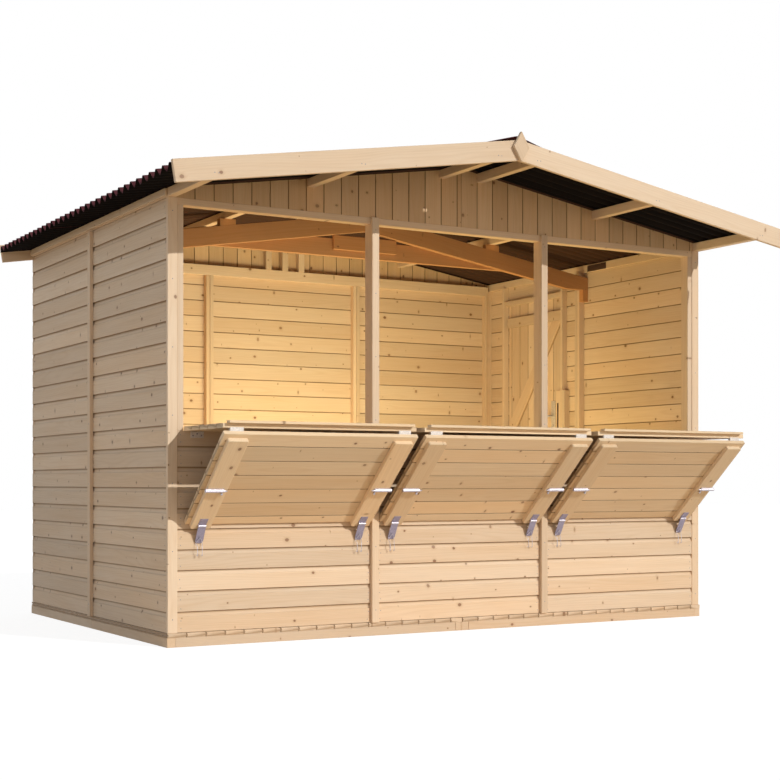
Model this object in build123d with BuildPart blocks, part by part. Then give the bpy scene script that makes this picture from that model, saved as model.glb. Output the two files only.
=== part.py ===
"""Wooden market stall: a timber-framed hut with three serving bays and a low gabled roof.

Frame: origin at the centre of the base's underside, +X to the stall's right, front towards -Y, +Z up.
Sizes in millimetres.
"""

import os
from math import acos, cos, pi, sin, tan

from build123d import *

# ---- base and floor
footprint_width = 3060
footprint_depth = 2060
base_height = 42
base_beam = 38
panel_gap = 2  # joint between two prefabricated panels
floor_board = 20

# ---- walls
wall_inset = 4  # walls stand this far in from the base edge
wall_board = 19
wall_top = 1982
stud_depth = 38
stud_width = 22
corner_board_width = 46
corner_board_proud = 3
batten_width = 38
batten_thickness = 18
batten_top_gap = 10
plate_height = 34  # top rail inside the back wall
plate_rise = 26  # how far the front and back top rails stand above the walls

# ---- serving bays
bay_count = 3
post_width = 38
post_gap = 0.5  # between the two halves of a post
sill_top = 954
sill_rail = 38
header_height = 31
corner_stile = 29  # what shows of the stile between a corner board and its bay

# ---- serving hatches, each a shelf leaf and a prop leaf folded out
leaf_side_clearance = 2
shelf_depth = 434
shelf_thickness = 20
strip_height = 12
strip_width = 34
strip_inset = 20
strip_overhang = 24
hatch_overlap = 30  # closed, the prop leaf laps this far over the header
prop_thickness = 20
prop_set_out = 1  # the prop leaf's back face stands out past the shelf's edge
prop_wall_gap = 0.3  # between the prop leaf's lower edge and the wall it leans on
prop_gap = 11  # between the two leaves when they are folded out
prop_batten_width = 96
prop_batten_thickness = 20
prop_batten_inset = 20
prop_batten_top = 23
prop_batten_bottom = 14
prop_batten_corner = 10

# ---- hatch hardware
hinge_leaf_thickness = 2
hinge_leaf_length = 62
hinge_wall_leaf = 30
hinge_barrel_radius = 5.3
hinge_barrel_back = 2  # the barrel's axis lies this far behind the shelf's edge
hinge_end_offset = 62
latch_plate_width = 38
latch_plate_length = 40
latch_end_inset = 20  # from the roll's axis to the batten's lower end
latch_plate_thickness = 2.5
latch_roll_radius = 6
lever_lean = 53  # degrees below the horizontal, where the lever hangs against the wall
lever_width = 36
lever_tip_width = 30
lever_thickness = 3
lever_seat_gap = 0.3
bolt_length = 104
bolt_radius = 7
bolt_plate_length = 78
bolt_plate_thickness = 2
bolt_plate_height = 34
bolt_guide_height = 20
bolt_guide_width = 9
bolt_knob_width = 8
bolt_knob_length = 24
bolt_down = 330  # from the prop leaf's hinged edge
bolt_outward = 6

# ---- roof
roof_pitch = 9.26  # degrees
front_overhang = 500
rear_overhang = 24
left_eave_overhang = 176  # the sheets reach this far past the side walls
right_eave_overhang = 90
board_end_set_in = 16  # the bargeboards end this far inside the wider eave
eave_strip_thickness = 12  # a strip along each side wall's top, outside the eave purlin
eave_strip_foot = 4
sheet_wave_pitch = 76.2
sheet_wave_height = 30
sheet_flank_angle = 50
sheet_crest_flats = 3  # each crest and trough is pressed in this many flats
sheet_thickness = 3
sheet_ridge_gap = 8
sheet_seat = 0.4  # clearance over the purlins
purlin_width = 38
purlin_height = 38
ridge_purlin_offset = 109
middle_purlin_offset = 822
board_edge_height = 95
ridge_joint = 1  # between two boards that meet at the ridge
bargeboard_thickness = 18
bargeboard_drop = 54  # from the sheets' underside down to the bargeboard's lower edge
cap_half_width = 240
cap_thickness = 3
cap_rise = 28
finial_width = 88
finial_height = 145
finial_thickness = 18
finial_rise = 14  # its centre stands this far above the bargeboards' middle

# ---- roof truss at mid depth
truss_board = 95
truss_foot_height = 71
truss_thickness = 38
truss_drop = 36  # purlin underside to rafter top
tie_drop = 27  # the tie's lower edge below the wall top
tie_end_gap = 327  # the tie stops this far from the side walls
tie_end_cut = 240
tie_thickness = 30
truss_plate_width = 390
truss_plate_gap = 0.5  # under the rafters, at the plate's upper corners
truss_plate_thickness = 20
truss_plate_rise = 35
truss_block_width = 90
truss_cleat_height = 70

# ---- door in the right-hand wall
door_width = 600
door_gap = 7
door_head = 114  # from the door's top edge to the wall top
door_bottom_gap = 8
door_front_edge = 172  # y of the front jamb face
door_stop_gap = 5  # the closed leaf clears the rail behind its top edge by this much
door_stop_lap = 6  # how far the rail reaches down behind the leaf
door_stop_height = 32
ledge_height = 72
ledge_thickness = 19
ledge_margin = 10
ledge_drop = 96
brace_foot_width = 92  # of the brace, measured along the ledges
door_hinge_length = 300
door_hinge_height = 36
door_hinge_thickness = 3
door_pin_radius = 4
door_pin_clearance = 0.05
door_knuckle_radius = 8
door_knuckle_gap = 1
door_plate_width = 60
door_plate_height = 60
door_hinge_inset = 190
lock_block_bottom = 960
lock_block_top = 1290
lock_block_width = 61
lock_recess_width = 14
lock_recess_top = 1192
lock_plate_width = 42
lock_plate_bottom = 1020
lock_plate_top = 1231
lock_plate_thickness = 4
lock_handle_height = 1137
lock_handle_radius = 7
lock_handle_out = 34
lock_handle_length = 95
keep_thickness = 24

# ---- plain cover plate on the inside of the right-hand eave purlin
cover_plate_front = -260
cover_plate_length = 175
cover_plate_height = 36
cover_plate_thickness = 5

os.makedirs("parts", exist_ok=True)

half_width = footprint_width / 2
half_depth = footprint_depth / 2
floor_top = base_height + floor_board
face_x = half_width - wall_inset
face_y = half_depth - wall_inset
inner_x = face_x - wall_board
inner_y = face_y - wall_board
front_face = -face_y + corner_board_proud
header_bottom = wall_top - header_height
door_top = wall_top - door_head
tie_bottom = wall_top - tie_drop
tie_half_length = inner_x - tie_end_gap
corner_board_inner = face_x - corner_board_width
stile_inner = corner_board_inner - corner_stile  # inner face of the corner stiles
bay_pitch = 2 * (stile_inner + post_width / 2) / bay_count
bay_opening = bay_pitch - post_width
sheet_reach = {-1: face_x + left_eave_overhang, 1: face_x + right_eave_overhang}
purlin_offsets = (ridge_purlin_offset, middle_purlin_offset, face_x - purlin_width / 2)
pitch_rad = roof_pitch * pi / 180
slope = tan(pitch_rad)
roof_underside_ridge = wall_top + purlin_height + slope * face_x  # sheets' underside at the ridge
front_roof = -half_depth - front_overhang
rear_roof = half_depth + rear_overhang


def roof_z(x):
    """Height of the sheets' underside above x."""
    return roof_underside_ridge - slope * abs(x)


def block(x0, x1, y0, y1, z0, z1):
    """A rectangular timber between two corners, added to the part being built."""
    with Locations(((x0 + x1) / 2, (y0 + y1) / 2, (z0 + z1) / 2)):
        Box(abs(x1 - x0), abs(y1 - y0), abs(z1 - z0))


def save(builder, name):
    builder.part.label = name
    export_step(builder.part, f"parts/{name}.step")


# ================================================================ base and floor
with BuildPart() as base_side_beams:
    # outer beams, jointed where the floor panels meet
    for sx in (-1, 1):
        for sy in (-1, 1):
            block(
                sx * (half_width - base_beam), sx * half_width,
                sy * panel_gap / 2, sy * half_depth, 0, base_height,
            )
    # the two middle joists, bolted together
    block(-base_beam, base_beam, -half_depth, half_depth, 0, base_height)
save(base_side_beams, "base_side_beams")

with BuildPart() as base_cross_beams:
    for side in (-1, 1):
        inner = base_beam + panel_gap / 2
        outer = half_width - base_beam
        for y in (
            -half_depth + base_beam / 2,
            -half_depth / 2,
            -base_beam / 2 - panel_gap / 2,
            base_beam / 2 + panel_gap / 2,
            half_depth / 2,
            half_depth - base_beam / 2,
        ):
            block(side * inner, side * outer, y - base_beam / 2, y + base_beam / 2, 0, base_height)
save(base_cross_beams, "base_cross_beams")

with BuildPart() as floor_boards:
    for sx in (-1, 1):
        for sy in (-1, 1):
            block(
                sx * panel_gap / 2, sx * half_width,
                sy * panel_gap / 2, sy * half_depth,
                base_height, floor_top,
            )
save(floor_boards, "floor_boards")

# ================================================================ side and back walls
with BuildPart() as left_wall:
    for sy in (-1, 1):
        block(-face_x, -inner_x, sy * panel_gap / 2, sy * inner_y, floor_top, wall_top)
save(left_wall, "left_wall")

door_rear_edge = door_front_edge + 2 * door_gap + door_width
with BuildPart() as right_wall_front:
    block(inner_x, face_x, -inner_y, -panel_gap / 2, floor_top, wall_top)
save(right_wall_front, "right_wall_front")

with BuildPart() as door_side_panels:
    block(inner_x, face_x, panel_gap / 2, door_front_edge, floor_top, wall_top)
    block(inner_x, face_x, door_rear_edge, inner_y, floor_top, wall_top)
save(door_side_panels, "door_side_panels")

with BuildPart() as door_head_panel:
    block(inner_x, face_x, door_front_edge, door_rear_edge, door_top + door_gap, wall_top)
    # a rail between the jambs that covers the gap over the leaf
    stop_face = inner_x - door_stop_gap
    stop_bottom = door_top - door_stop_lap
    block(
        stop_face - stud_width, stop_face,
        door_front_edge, door_rear_edge,
        stop_bottom, stop_bottom + door_stop_height,
    )
save(door_head_panel, "door_head_panel")

with BuildPart() as back_wall:
    edges = (-face_x, -bay_pitch / 2, bay_pitch / 2, face_x)
    for a, b in zip(edges, edges[1:]):
        block(a + panel_gap / 2, b - panel_gap / 2, inner_y, face_y, floor_top, wall_top)
save(back_wall, "back_wall")

with BuildPart() as wall_studs:
    # left-hand wall: the edge studs of its two panels
    for sy in (-1, 1):
        for y0 in (panel_gap / 2, inner_y - stud_width):
            block(
                -inner_x, -inner_x + stud_depth,
                sy * y0, sy * (y0 + stud_width),
                floor_top, wall_top,
            )
    # right-hand wall: panel edges and both door jambs
    for y0 in (
        -inner_y,
        -panel_gap / 2 - stud_width,
        panel_gap / 2,
        door_front_edge - stud_width,
        door_rear_edge,
        inner_y - stud_width,
    ):
        block(inner_x - stud_depth, inner_x, y0, y0 + stud_width, floor_top, wall_top)
    # back wall: panel edges, under the top rail
    for x0 in (
        -inner_x + stud_depth + panel_gap / 2,
        -bay_pitch / 2 - panel_gap / 2 - stud_width,
        -bay_pitch / 2 + panel_gap / 2,
    ):
        for side in (-1, 1):
            block(
                side * x0, side * (x0 + stud_width),
                inner_y - stud_depth, inner_y, floor_top, wall_top - plate_height,
            )
save(wall_studs, "wall_studs")

with BuildPart() as back_wall_plate:
    reach = inner_x - stud_depth
    block(-reach, reach, inner_y - stud_depth, inner_y, wall_top - plate_height, wall_top + plate_rise)
save(back_wall_plate, "back_wall_plate")

# ================================================================ front wall and serving bays
post_x = bay_pitch / 2
bay_centres = [(i - (bay_count - 1) / 2) * bay_pitch for i in range(bay_count)]

with BuildPart() as front_wall:
    spans = (
        (-corner_board_inner, -post_x - post_width / 2),
        (-post_x + post_width / 2, post_x - post_width / 2),
        (post_x + post_width / 2, corner_board_inner),
    )
    for a, b in spans:
        block(a, b, front_face, -inner_y, floor_top, sill_top)
save(front_wall, "front_wall")

with BuildPart() as front_sill_rails:
    for c in bay_centres:
        block(
            c - bay_opening / 2, c + bay_opening / 2,
            -inner_y, -inner_y + stud_depth,
            sill_top - sill_rail, sill_top,
        )
save(front_sill_rails, "front_sill_rails")

with BuildPart() as front_posts:
    for side in (-1, 1):
        for a in (post_gap, -post_width / 2):
            block(
                side * (post_x + a), side * (post_x + a + post_width / 2 - post_gap),
                front_face, -inner_y + stud_depth,
                floor_top, header_bottom,
            )
save(front_posts, "front_posts")

with BuildPart() as corner_stiles:
    for side in (-1, 1):
        with BuildSketch(Plane.XY.offset(floor_top)):
            with BuildLine():
                Polyline(
                    (side * (inner_x - stud_depth), -inner_y),
                    (side * stile_inner, -inner_y),
                    (side * stile_inner, -inner_y + stud_depth),
                    (side * (inner_x - stud_depth), -inner_y + stud_depth),
                    close=True,
                )
            make_face()
        extrude(amount=wall_top - floor_top)
        block(
            side * corner_board_inner, side * stile_inner,
            front_face, -inner_y, sill_top, header_bottom,
        )
save(corner_stiles, "corner_stiles")

with BuildPart() as front_header:
    block(-corner_board_inner, corner_board_inner, front_face, -inner_y, header_bottom, wall_top)
save(front_header, "front_header")

with BuildPart() as front_header_beam:
    block(-stile_inner, stile_inner, -inner_y, -inner_y + stud_depth, header_bottom, wall_top + plate_rise)
save(front_header_beam, "front_header_beam")

with BuildPart() as corner_boards:
    for side in (-1, 1):
        block(side * corner_board_inner, side * face_x, -face_y, -inner_y, floor_top, wall_top)
save(corner_boards, "corner_boards")

with BuildPart() as front_cover_battens:
    for side in (-1, 1):
        with BuildSketch(Plane.XY.offset(floor_top)):
            with Locations((side * post_x, front_face - batten_thickness / 2)):
                Rectangle(post_width, batten_thickness)
        extrude(amount=wall_top - floor_top)
save(front_cover_battens, "front_cover_battens")

with BuildPart() as side_cover_battens:
    for side in (-1, 1):
        block(
            side * face_x, side * (face_x + batten_thickness),
            -batten_width / 2, batten_width / 2, floor_top, wall_top - batten_top_gap,
        )
        block(
            side * face_x, side * (face_x + eave_strip_thickness),
            -face_y, face_y,
            wall_top + eave_strip_foot, roof_z(face_x + eave_strip_thickness),
        )
    for side in (-1, 1):
        block(
            side * post_x - batten_width / 2, side * post_x + batten_width / 2,
            face_y, face_y + batten_thickness, floor_top, wall_top - batten_top_gap,
        )
save(side_cover_battens, "side_cover_battens")


# ================================================================ gables
def gable(y0, y1):
    """Two boarded gable halves that meet at the ridge line, between the wall top and the sheets."""
    for side in (-1, 1):
        with BuildSketch(Plane.XZ.offset(-y0)) as outline:
            with BuildLine():
                Polyline(
                    (side * panel_gap / 2, wall_top),
                    (side * (face_x - purlin_width), wall_top),
                    (side * (face_x - purlin_width), roof_z(face_x - purlin_width)),
                    (side * panel_gap / 2, roof_z(0)),
                    close=True,
                )
            make_face()
        extrude(outline.sketch, amount=y0 - y1)


def purlin_bottom(x):
    return roof_z(x + purlin_width / 2) - purlin_height


def purlin_notches(y0, y1):
    """Cut the seats of the ridge and middle purlins out of a gable."""
    for x in purlin_offsets[:2]:
        for side in (-1, 1):
            with BuildSketch(Plane.XZ.offset(-y0)) as outline:
                with Locations((side * x, purlin_bottom(x) + purlin_height)):
                    Rectangle(purlin_width, 2 * purlin_height)
            extrude(outline.sketch, amount=y0 - y1, mode=Mode.SUBTRACT)


with BuildPart() as front_gable:
    gable(front_face, -inner_y)
    purlin_notches(front_face, -inner_y)
save(front_gable, "front_gable")

with BuildPart() as rear_gable:
    gable(inner_y, face_y)
    purlin_notches(inner_y, face_y)
save(rear_gable, "rear_gable")

gable_stud_base = wall_top + plate_rise
with BuildPart() as gable_studs:
    for y0 in (-inner_y, inner_y - stud_depth):
        for x in (-purlin_offsets[0], purlin_offsets[0]):
            block(
                x - purlin_width / 2, x + purlin_width / 2, y0, y0 + stud_depth,
                gable_stud_base, purlin_bottom(purlin_offsets[0]),
            )
        block(
            -purlin_width / 2, purlin_width / 2, y0, y0 + stud_depth,
            gable_stud_base, roof_z(purlin_width / 2),
        )
save(gable_studs, "gable_studs")

# ================================================================ purlins and truss
purlin_front = front_roof + bargeboard_thickness
purlin_rear = rear_roof - bargeboard_thickness


def purlin_pair(x):
    """Purlins either side of the ridge, their tops cut to the roof's slope."""
    for side in (-1, 1):
        a, b = x - purlin_width / 2, x + purlin_width / 2
        with BuildSketch(Plane.XZ.offset(-purlin_front)) as outline:
            with BuildLine():
                Polyline(
                    (side * a, roof_z(b) - purlin_height),
                    (side * b, roof_z(b) - purlin_height),
                    (side * b, roof_z(b)),
                    (side * a, roof_z(a)),
                    close=True,
                )
            make_face()
        extrude(outline.sketch, amount=purlin_front - purlin_rear)


with BuildPart() as purlins:
    for offset_x in purlin_offsets:
        purlin_pair(offset_x)
save(purlins, "purlins")


def rafter_top(x):
    return roof_z(purlin_offsets[1]) - purlin_height - truss_drop + slope * (purlin_offsets[1] - abs(x))


rafter_drop = truss_board / cos(pitch_rad)
rafter_foot = rafter_top(inner_x) - truss_foot_height  # level seat at the wall
foot_start = inner_x - (rafter_drop - truss_foot_height) / slope
truss_back = -panel_gap / 2 - stud_width  # the truss stands against the front of the middle studs
with BuildPart() as truss_rafters:
    for side in (-1, 1):
        with BuildSketch(Plane.XZ.offset(truss_thickness - truss_back)):
            with BuildLine():
                Polyline(
                    (side * ridge_joint / 2, rafter_top(ridge_joint / 2)),
                    (side * inner_x, rafter_top(inner_x)),
                    (side * inner_x, rafter_foot),
                    (side * foot_start, rafter_foot),
                    (side * ridge_joint / 2, rafter_top(ridge_joint / 2) - rafter_drop),
                    close=True,
                )
            make_face()
        extrude(amount=-truss_thickness)
save(truss_rafters, "truss_rafters")

with BuildPart() as truss_tie:
    with BuildSketch(Plane.XZ.offset(-truss_back)):
        reach = tie_half_length
        with BuildLine():
            Polyline(
                (-reach, tie_bottom), (reach, tie_bottom),
                (reach, rafter_top(reach)),
                (reach - tie_end_cut, tie_bottom + truss_board),
                (-reach + tie_end_cut, tie_bottom + truss_board),
                (-reach, rafter_top(reach)),
                close=True,
            )
        make_face()
    extrude(amount=-tie_thickness)
save(truss_tie, "truss_tie")

with BuildPart() as truss_plate:
    plate_top = rafter_top(truss_plate_width / 2) - rafter_drop - truss_plate_gap
    block(
        -truss_plate_width / 2, truss_plate_width / 2, truss_back - truss_plate_thickness, truss_back,
        tie_bottom + truss_plate_rise, plate_top,
    )
save(truss_plate, "truss_plate")

with BuildPart() as truss_blocks:
    for x in purlin_offsets[:2]:
        for side in (-1, 1):
            a, b = x - truss_block_width / 2, x + truss_block_width / 2
            with BuildSketch(Plane.XZ.offset(truss_thickness - truss_back)):
                with BuildLine():
                    Polyline(
                        (side * a, rafter_top(a)),
                        (side * b, rafter_top(b)),
                        (side * b, purlin_bottom(x)),
                        (side * a, purlin_bottom(x)),
                        close=True,
                    )
                make_face()
            extrude(amount=-truss_thickness)
    # cleats under the rafters' feet
    for side in (-1, 1):
        block(
            side * (inner_x - stud_depth), side * inner_x,
            truss_back - truss_thickness, truss_back,
            rafter_foot - truss_cleat_height, rafter_foot,
        )
save(truss_blocks, "truss_blocks")

# ================================================================ roof covering
sheet_front = front_roof + bargeboard_thickness + 1
sheet_rear = rear_roof - bargeboard_thickness - 1
half_waves = round((sheet_rear - sheet_front) / sheet_wave_pitch * 2)
half_wave = (sheet_rear - sheet_front) / half_waves  # the waves fill the roof's length


def sheet_plane(side):
    """A plane across the slope: local x towards the rear, local y away from the roof."""
    return Plane(
        origin=(side * sheet_ridge_gap, sheet_front, roof_z(sheet_ridge_gap) + sheet_seat),
        x_dir=(0, 1, 0),
        z_dir=(side * cos(pitch_rad), 0, -sin(pitch_rad)),
    )


# One half wave bends over the crest or under the trough, with a straight flank between them.
flank = sheet_flank_angle * pi / 180
flank_length = (sheet_wave_height - half_wave * tan(flank / 2)) / (
    sin(flank) - cos(flank) * tan(flank / 2)
)
wave_radius = (half_wave - flank_length * cos(flank)) / (2 * sin(flank))


def wave_point(k, angle, flip, lift):
    """A point on the k-th arc (crests are even), at an angle from its middle."""
    up = k % 2 == 0
    s = k * half_wave + wave_radius * sin(angle)
    bend = wave_radius * (1 - cos(angle))
    rise = sheet_wave_height - bend if up else bend
    return (s, flip * (rise + lift))


def wave_points(flip, lift):
    """The corrugated line from the front edge to the rear edge."""
    points = []
    for k in range(half_waves + 1):
        a = 0 if k == 0 else -flank
        b = 0 if k == half_waves else flank
        points += [
            wave_point(k, a + (b - a) * step / sheet_crest_flats, flip, lift)
            for step in range(sheet_crest_flats + 1)
        ]
    return points


def corrugated(side):
    flip = 1 if side > 0 else -1
    with BuildSketch(sheet_plane(side)) as outline:
        with BuildLine():
            Polyline(*wave_points(flip, 0), *reversed(wave_points(flip, sheet_thickness)), close=True)
        make_face()
    extrude(outline.sketch, amount=(sheet_reach[side] - sheet_ridge_gap) / cos(pitch_rad))


with BuildPart() as left_roof_sheet:
    corrugated(-1)
save(left_roof_sheet, "left_roof_sheet")

with BuildPart() as right_roof_sheet:
    corrugated(1)
save(right_roof_sheet, "right_roof_sheet")

sheet_top = (sheet_wave_height + sheet_thickness) / cos(pitch_rad)
with BuildPart() as ridge_cap:
    w = cap_half_width
    edge_z = roof_z(w) + sheet_top + 2 * sheet_seat
    with BuildSketch(Plane.XZ.offset(-sheet_front)):
        with BuildLine():
            Polyline(
                (-w, edge_z), (0, edge_z + slope * w + cap_rise), (w, edge_z),
                (w, edge_z + cap_thickness), (0, edge_z + slope * w + cap_rise + cap_thickness),
                (-w, edge_z + cap_thickness), close=True,
            )
        make_face()
    extrude(amount=sheet_front - sheet_rear)
save(ridge_cap, "ridge_cap")


def bargeboards(y0):
    """Two raking boards that meet at the ridge, cut square at their lower ends."""
    low = roof_underside_ridge - bargeboard_drop
    tall = board_edge_height / cos(pitch_rad)
    for side in (-1, 1):
        end = max(sheet_reach.values()) - board_end_set_in
        with BuildSketch(Plane.XZ.offset(-y0)) as outline:
            with BuildLine():
                Polyline(
                    (side * ridge_joint / 2, low),
                    (side * end, low - slope * end),
                    (
                        side * (end + board_edge_height * sin(pitch_rad)),
                        low - slope * end + board_edge_height * cos(pitch_rad),
                    ),
                    (side * ridge_joint / 2, low + tall),
                    close=True,
                )
            make_face()
        extrude(outline.sketch, amount=-bargeboard_thickness)


with BuildPart() as front_bargeboards:
    bargeboards(front_roof)
save(front_bargeboards, "front_bargeboards")

with BuildPart() as rear_bargeboards:
    bargeboards(rear_roof - bargeboard_thickness)
save(rear_bargeboards, "rear_bargeboards")


def finial(y0):
    centre = roof_underside_ridge - bargeboard_drop + board_edge_height / 2 + finial_rise
    with BuildSketch(Plane.XZ.offset(-y0)) as outline:
        with BuildLine():
            Polyline(
                (0, centre - finial_height / 2), (finial_width / 2, centre),
                (0, centre + finial_height / 2), (-finial_width / 2, centre), close=True,
            )
        make_face()
    extrude(outline.sketch, amount=-finial_thickness)


with BuildPart() as finials:
    finial(front_roof - finial_thickness)
    finial(rear_roof)
save(finials, "finials")

# ================================================================ serving hatches
leaf_width = bay_opening - 2 * leaf_side_clearance
shelf_outer = front_face - shelf_depth
shelf_top = sill_top + shelf_thickness
# Closed, the two leaves stand in one plane from the sill to just over the header.
prop_length = header_bottom + hatch_overlap - sill_top - shelf_depth - prop_gap

# Folded out, the prop leaf hangs under the shelf's outer edge and its lower edge leans on the wall.
pivot_y = shelf_outer - prop_set_out
pivot_z = sill_top - prop_gap
lean = acos((front_face - prop_wall_gap - pivot_y) / prop_length)  # below the horizontal
# Local frame of a prop leaf: x along the stall, y down the leaf, z out of its visible face.
down = (0, cos(lean), -sin(lean))
out = (0, -sin(lean), -cos(lean))
batten_face = prop_thickness + prop_batten_thickness


def prop_point(cx, along, proud):
    """A point on the prop leaf, at a distance down it and out of its back face."""
    return (
        cx,
        pivot_y + along * down[1] + proud * out[1],
        pivot_z + along * down[2] + proud * out[2],
    )


def prop_plane(cx, along, proud):
    """A plane on the prop leaf through such a point; its local y runs up the slope."""
    return Plane(origin=prop_point(cx, along, proud), x_dir=(1, 0, 0), z_dir=out)


def along_x(cx, along, proud, radius, length):
    """A round bar on the prop leaf, parallel to the stall's front."""
    rod = Plane(origin=prop_point(cx - length / 2, along, proud), z_dir=(1, 0, 0))
    with BuildSketch(rod) as outline:
        Circle(radius)
    extrude(outline.sketch, amount=length)


with BuildPart() as hatch_shelves:
    for c in bay_centres:
        block(
            c - leaf_width / 2, c + leaf_width / 2,
            shelf_outer, front_face, sill_top, shelf_top,
        )
save(hatch_shelves, "hatch_shelves")

with BuildPart() as hatch_edge_strips:
    for c in bay_centres:
        with BuildSketch(Plane.XY.offset(shelf_top)):
            with Locations((c, shelf_outer - strip_overhang + strip_width / 2)):
                Rectangle(leaf_width - 2 * strip_inset, strip_width)
        extrude(amount=strip_height)
save(hatch_edge_strips, "hatch_edge_strips")

with BuildPart() as hatch_prop_leaves:
    for c in bay_centres:
        with BuildSketch(prop_plane(c, prop_length / 2, 0)):
            Rectangle(leaf_width, prop_length)
        extrude(amount=prop_thickness)
save(hatch_prop_leaves, "hatch_prop_leaves")

batten_run = prop_length - prop_batten_top - prop_batten_bottom
batten_middle = prop_batten_top + batten_run / 2
batten_offset = leaf_width / 2 - prop_batten_inset - prop_batten_width / 2
with BuildPart() as hatch_prop_battens:
    for c in bay_centres:
        with BuildSketch(prop_plane(c, batten_middle, prop_thickness)):
            with Locations((-batten_offset, 0), (batten_offset, 0)):
                RectangleRounded(prop_batten_width, batten_run, prop_batten_corner)
        extrude(amount=prop_batten_thickness)
save(hatch_prop_battens, "hatch_prop_battens")

with BuildPart() as hatch_hinges:
    barrel_y = shelf_outer + hinge_barrel_back
    barrel_z = sill_top - prop_gap / 2
    for c in bay_centres:
        for side in (-1, 1):
            x = c + side * (leaf_width / 2 - hinge_end_offset)
            a, b = x - hinge_leaf_length / 2, x + hinge_leaf_length / 2
            # wall to shelf
            block(
                a, b, front_face - hinge_leaf_thickness, front_face,
                sill_top - hinge_wall_leaf, sill_top,
            )
            # shelf to prop leaf: a barrel in the gap, one leaf under the shelf, one behind the prop leaf
            with BuildSketch(Plane(origin=(a, barrel_y, barrel_z), z_dir=(1, 0, 0))) as outline:
                Circle(hinge_barrel_radius)
            extrude(outline.sketch, amount=hinge_leaf_length)
            block(
                a, b, barrel_y, barrel_y + hinge_wall_leaf,
                sill_top - hinge_leaf_thickness, sill_top,
            )
            with BuildSketch(prop_plane(x, hinge_wall_leaf / 2, -hinge_leaf_thickness)) as outline:
                Rectangle(hinge_leaf_length, hinge_wall_leaf)
            extrude(outline.sketch, amount=hinge_leaf_thickness)
save(hatch_hinges, "hatch_hinges")

with BuildPart() as hatch_levers:
    for c in bay_centres:
        for side in (-1, 1):
            x = c + side * batten_offset
            # base plate near the batten's lower end
            plate_end = prop_length - prop_batten_bottom - latch_end_inset
            with BuildSketch(prop_plane(x, plate_end - latch_plate_length / 2, batten_face)) as outline:
                Rectangle(latch_plate_width, latch_plate_length)
            extrude(outline.sketch, amount=latch_plate_thickness)
            along_x(
                x, plate_end, batten_face + latch_roll_radius, latch_roll_radius, latch_plate_width
            )
            # the lever hangs from the roll, more steeply than the leaf, and rests on the wall
            roll = prop_point(x, plate_end, batten_face + latch_roll_radius)
            lever_rad = lever_lean * pi / 180
            run = (front_face - roll[1]) / cos(lever_rad) - lever_seat_gap
            hang = Plane(origin=roll, x_dir=(1, 0, 0), z_dir=(0, -sin(lever_rad), -cos(lever_rad)))
            with BuildSketch(hang) as outline:
                with BuildLine():
                    Polyline(
                        (-lever_width / 2, 0), (lever_width / 2, 0),
                        (lever_tip_width / 2, -run), (-lever_tip_width / 2, -run), close=True,
                    )
                make_face()
            extrude(outline.sketch, amount=lever_thickness)
save(hatch_levers, "hatch_levers")

with BuildPart() as hatch_bolts:
    for c in bay_centres:
        for side in (-1, 1):
            x = c + side * (batten_offset + bolt_outward)
            with BuildSketch(prop_plane(x, bolt_down, batten_face)) as outline:
                Rectangle(bolt_plate_length, bolt_plate_height)
            extrude(outline.sketch, amount=bolt_plate_thickness)
            axis_out = batten_face + bolt_guide_height / 2
            along_x(x, bolt_down, axis_out, bolt_radius, bolt_length)
            # a guide at each end of the plate, the inner one with a turned-down tab
            knob_x = x - side * (bolt_plate_length / 2 - bolt_guide_width)
            for guide_x in (knob_x, x + side * (bolt_plate_length / 2 - bolt_guide_width)):
                with BuildSketch(prop_plane(guide_x, bolt_down, batten_face)) as outline:
                    Rectangle(bolt_guide_width, bolt_guide_height)
                extrude(outline.sketch, amount=bolt_guide_height)
            with BuildSketch(
                Plane(origin=prop_point(knob_x, bolt_down, axis_out), x_dir=(1, 0, 0), z_dir=down)
            ) as outline:
                Rectangle(bolt_knob_width, bolt_knob_width)
            extrude(outline.sketch, amount=bolt_knob_length)
save(hatch_bolts, "hatch_bolts")

# ================================================================ door
door_y0 = door_front_edge + door_gap
door_y1 = door_y0 + door_width
door_z0 = floor_top + door_bottom_gap
hinge_y = door_rear_edge
hinge_x = face_x + door_knuckle_radius
hinge_zs = (door_z0 + door_hinge_inset, door_top - door_hinge_inset)

with BuildPart() as door_leaf:
    block(inner_x, face_x, door_y0, door_y1, door_z0, door_top)
save(door_leaf, "door_leaf")

top_ledge_z = door_top - ledge_drop - ledge_height / 2
bottom_ledge_z = door_z0 + ledge_drop + ledge_height / 2
with BuildPart() as door_ledges:
    for z in (top_ledge_z, bottom_ledge_z):
        block(
            inner_x - ledge_thickness, inner_x,
            door_y0 + ledge_margin, door_y1 - ledge_margin,
            z - ledge_height / 2, z + ledge_height / 2,
        )
save(door_ledges, "door_ledges")

with BuildPart() as door_brace:
    low_z = bottom_ledge_z + ledge_height / 2
    high_z = top_ledge_z - ledge_height / 2
    a = door_y1 - ledge_margin
    b = door_y0 + ledge_margin
    with BuildSketch(Plane.YZ.offset(inner_x - ledge_thickness)):
        with BuildLine():
            Polyline(
                (a, low_z), (a - brace_foot_width, low_z),
                (b, high_z), (b + brace_foot_width, high_z), close=True,
            )
        make_face()
    extrude(amount=ledge_thickness)
save(door_brace, "door_brace")

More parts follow.
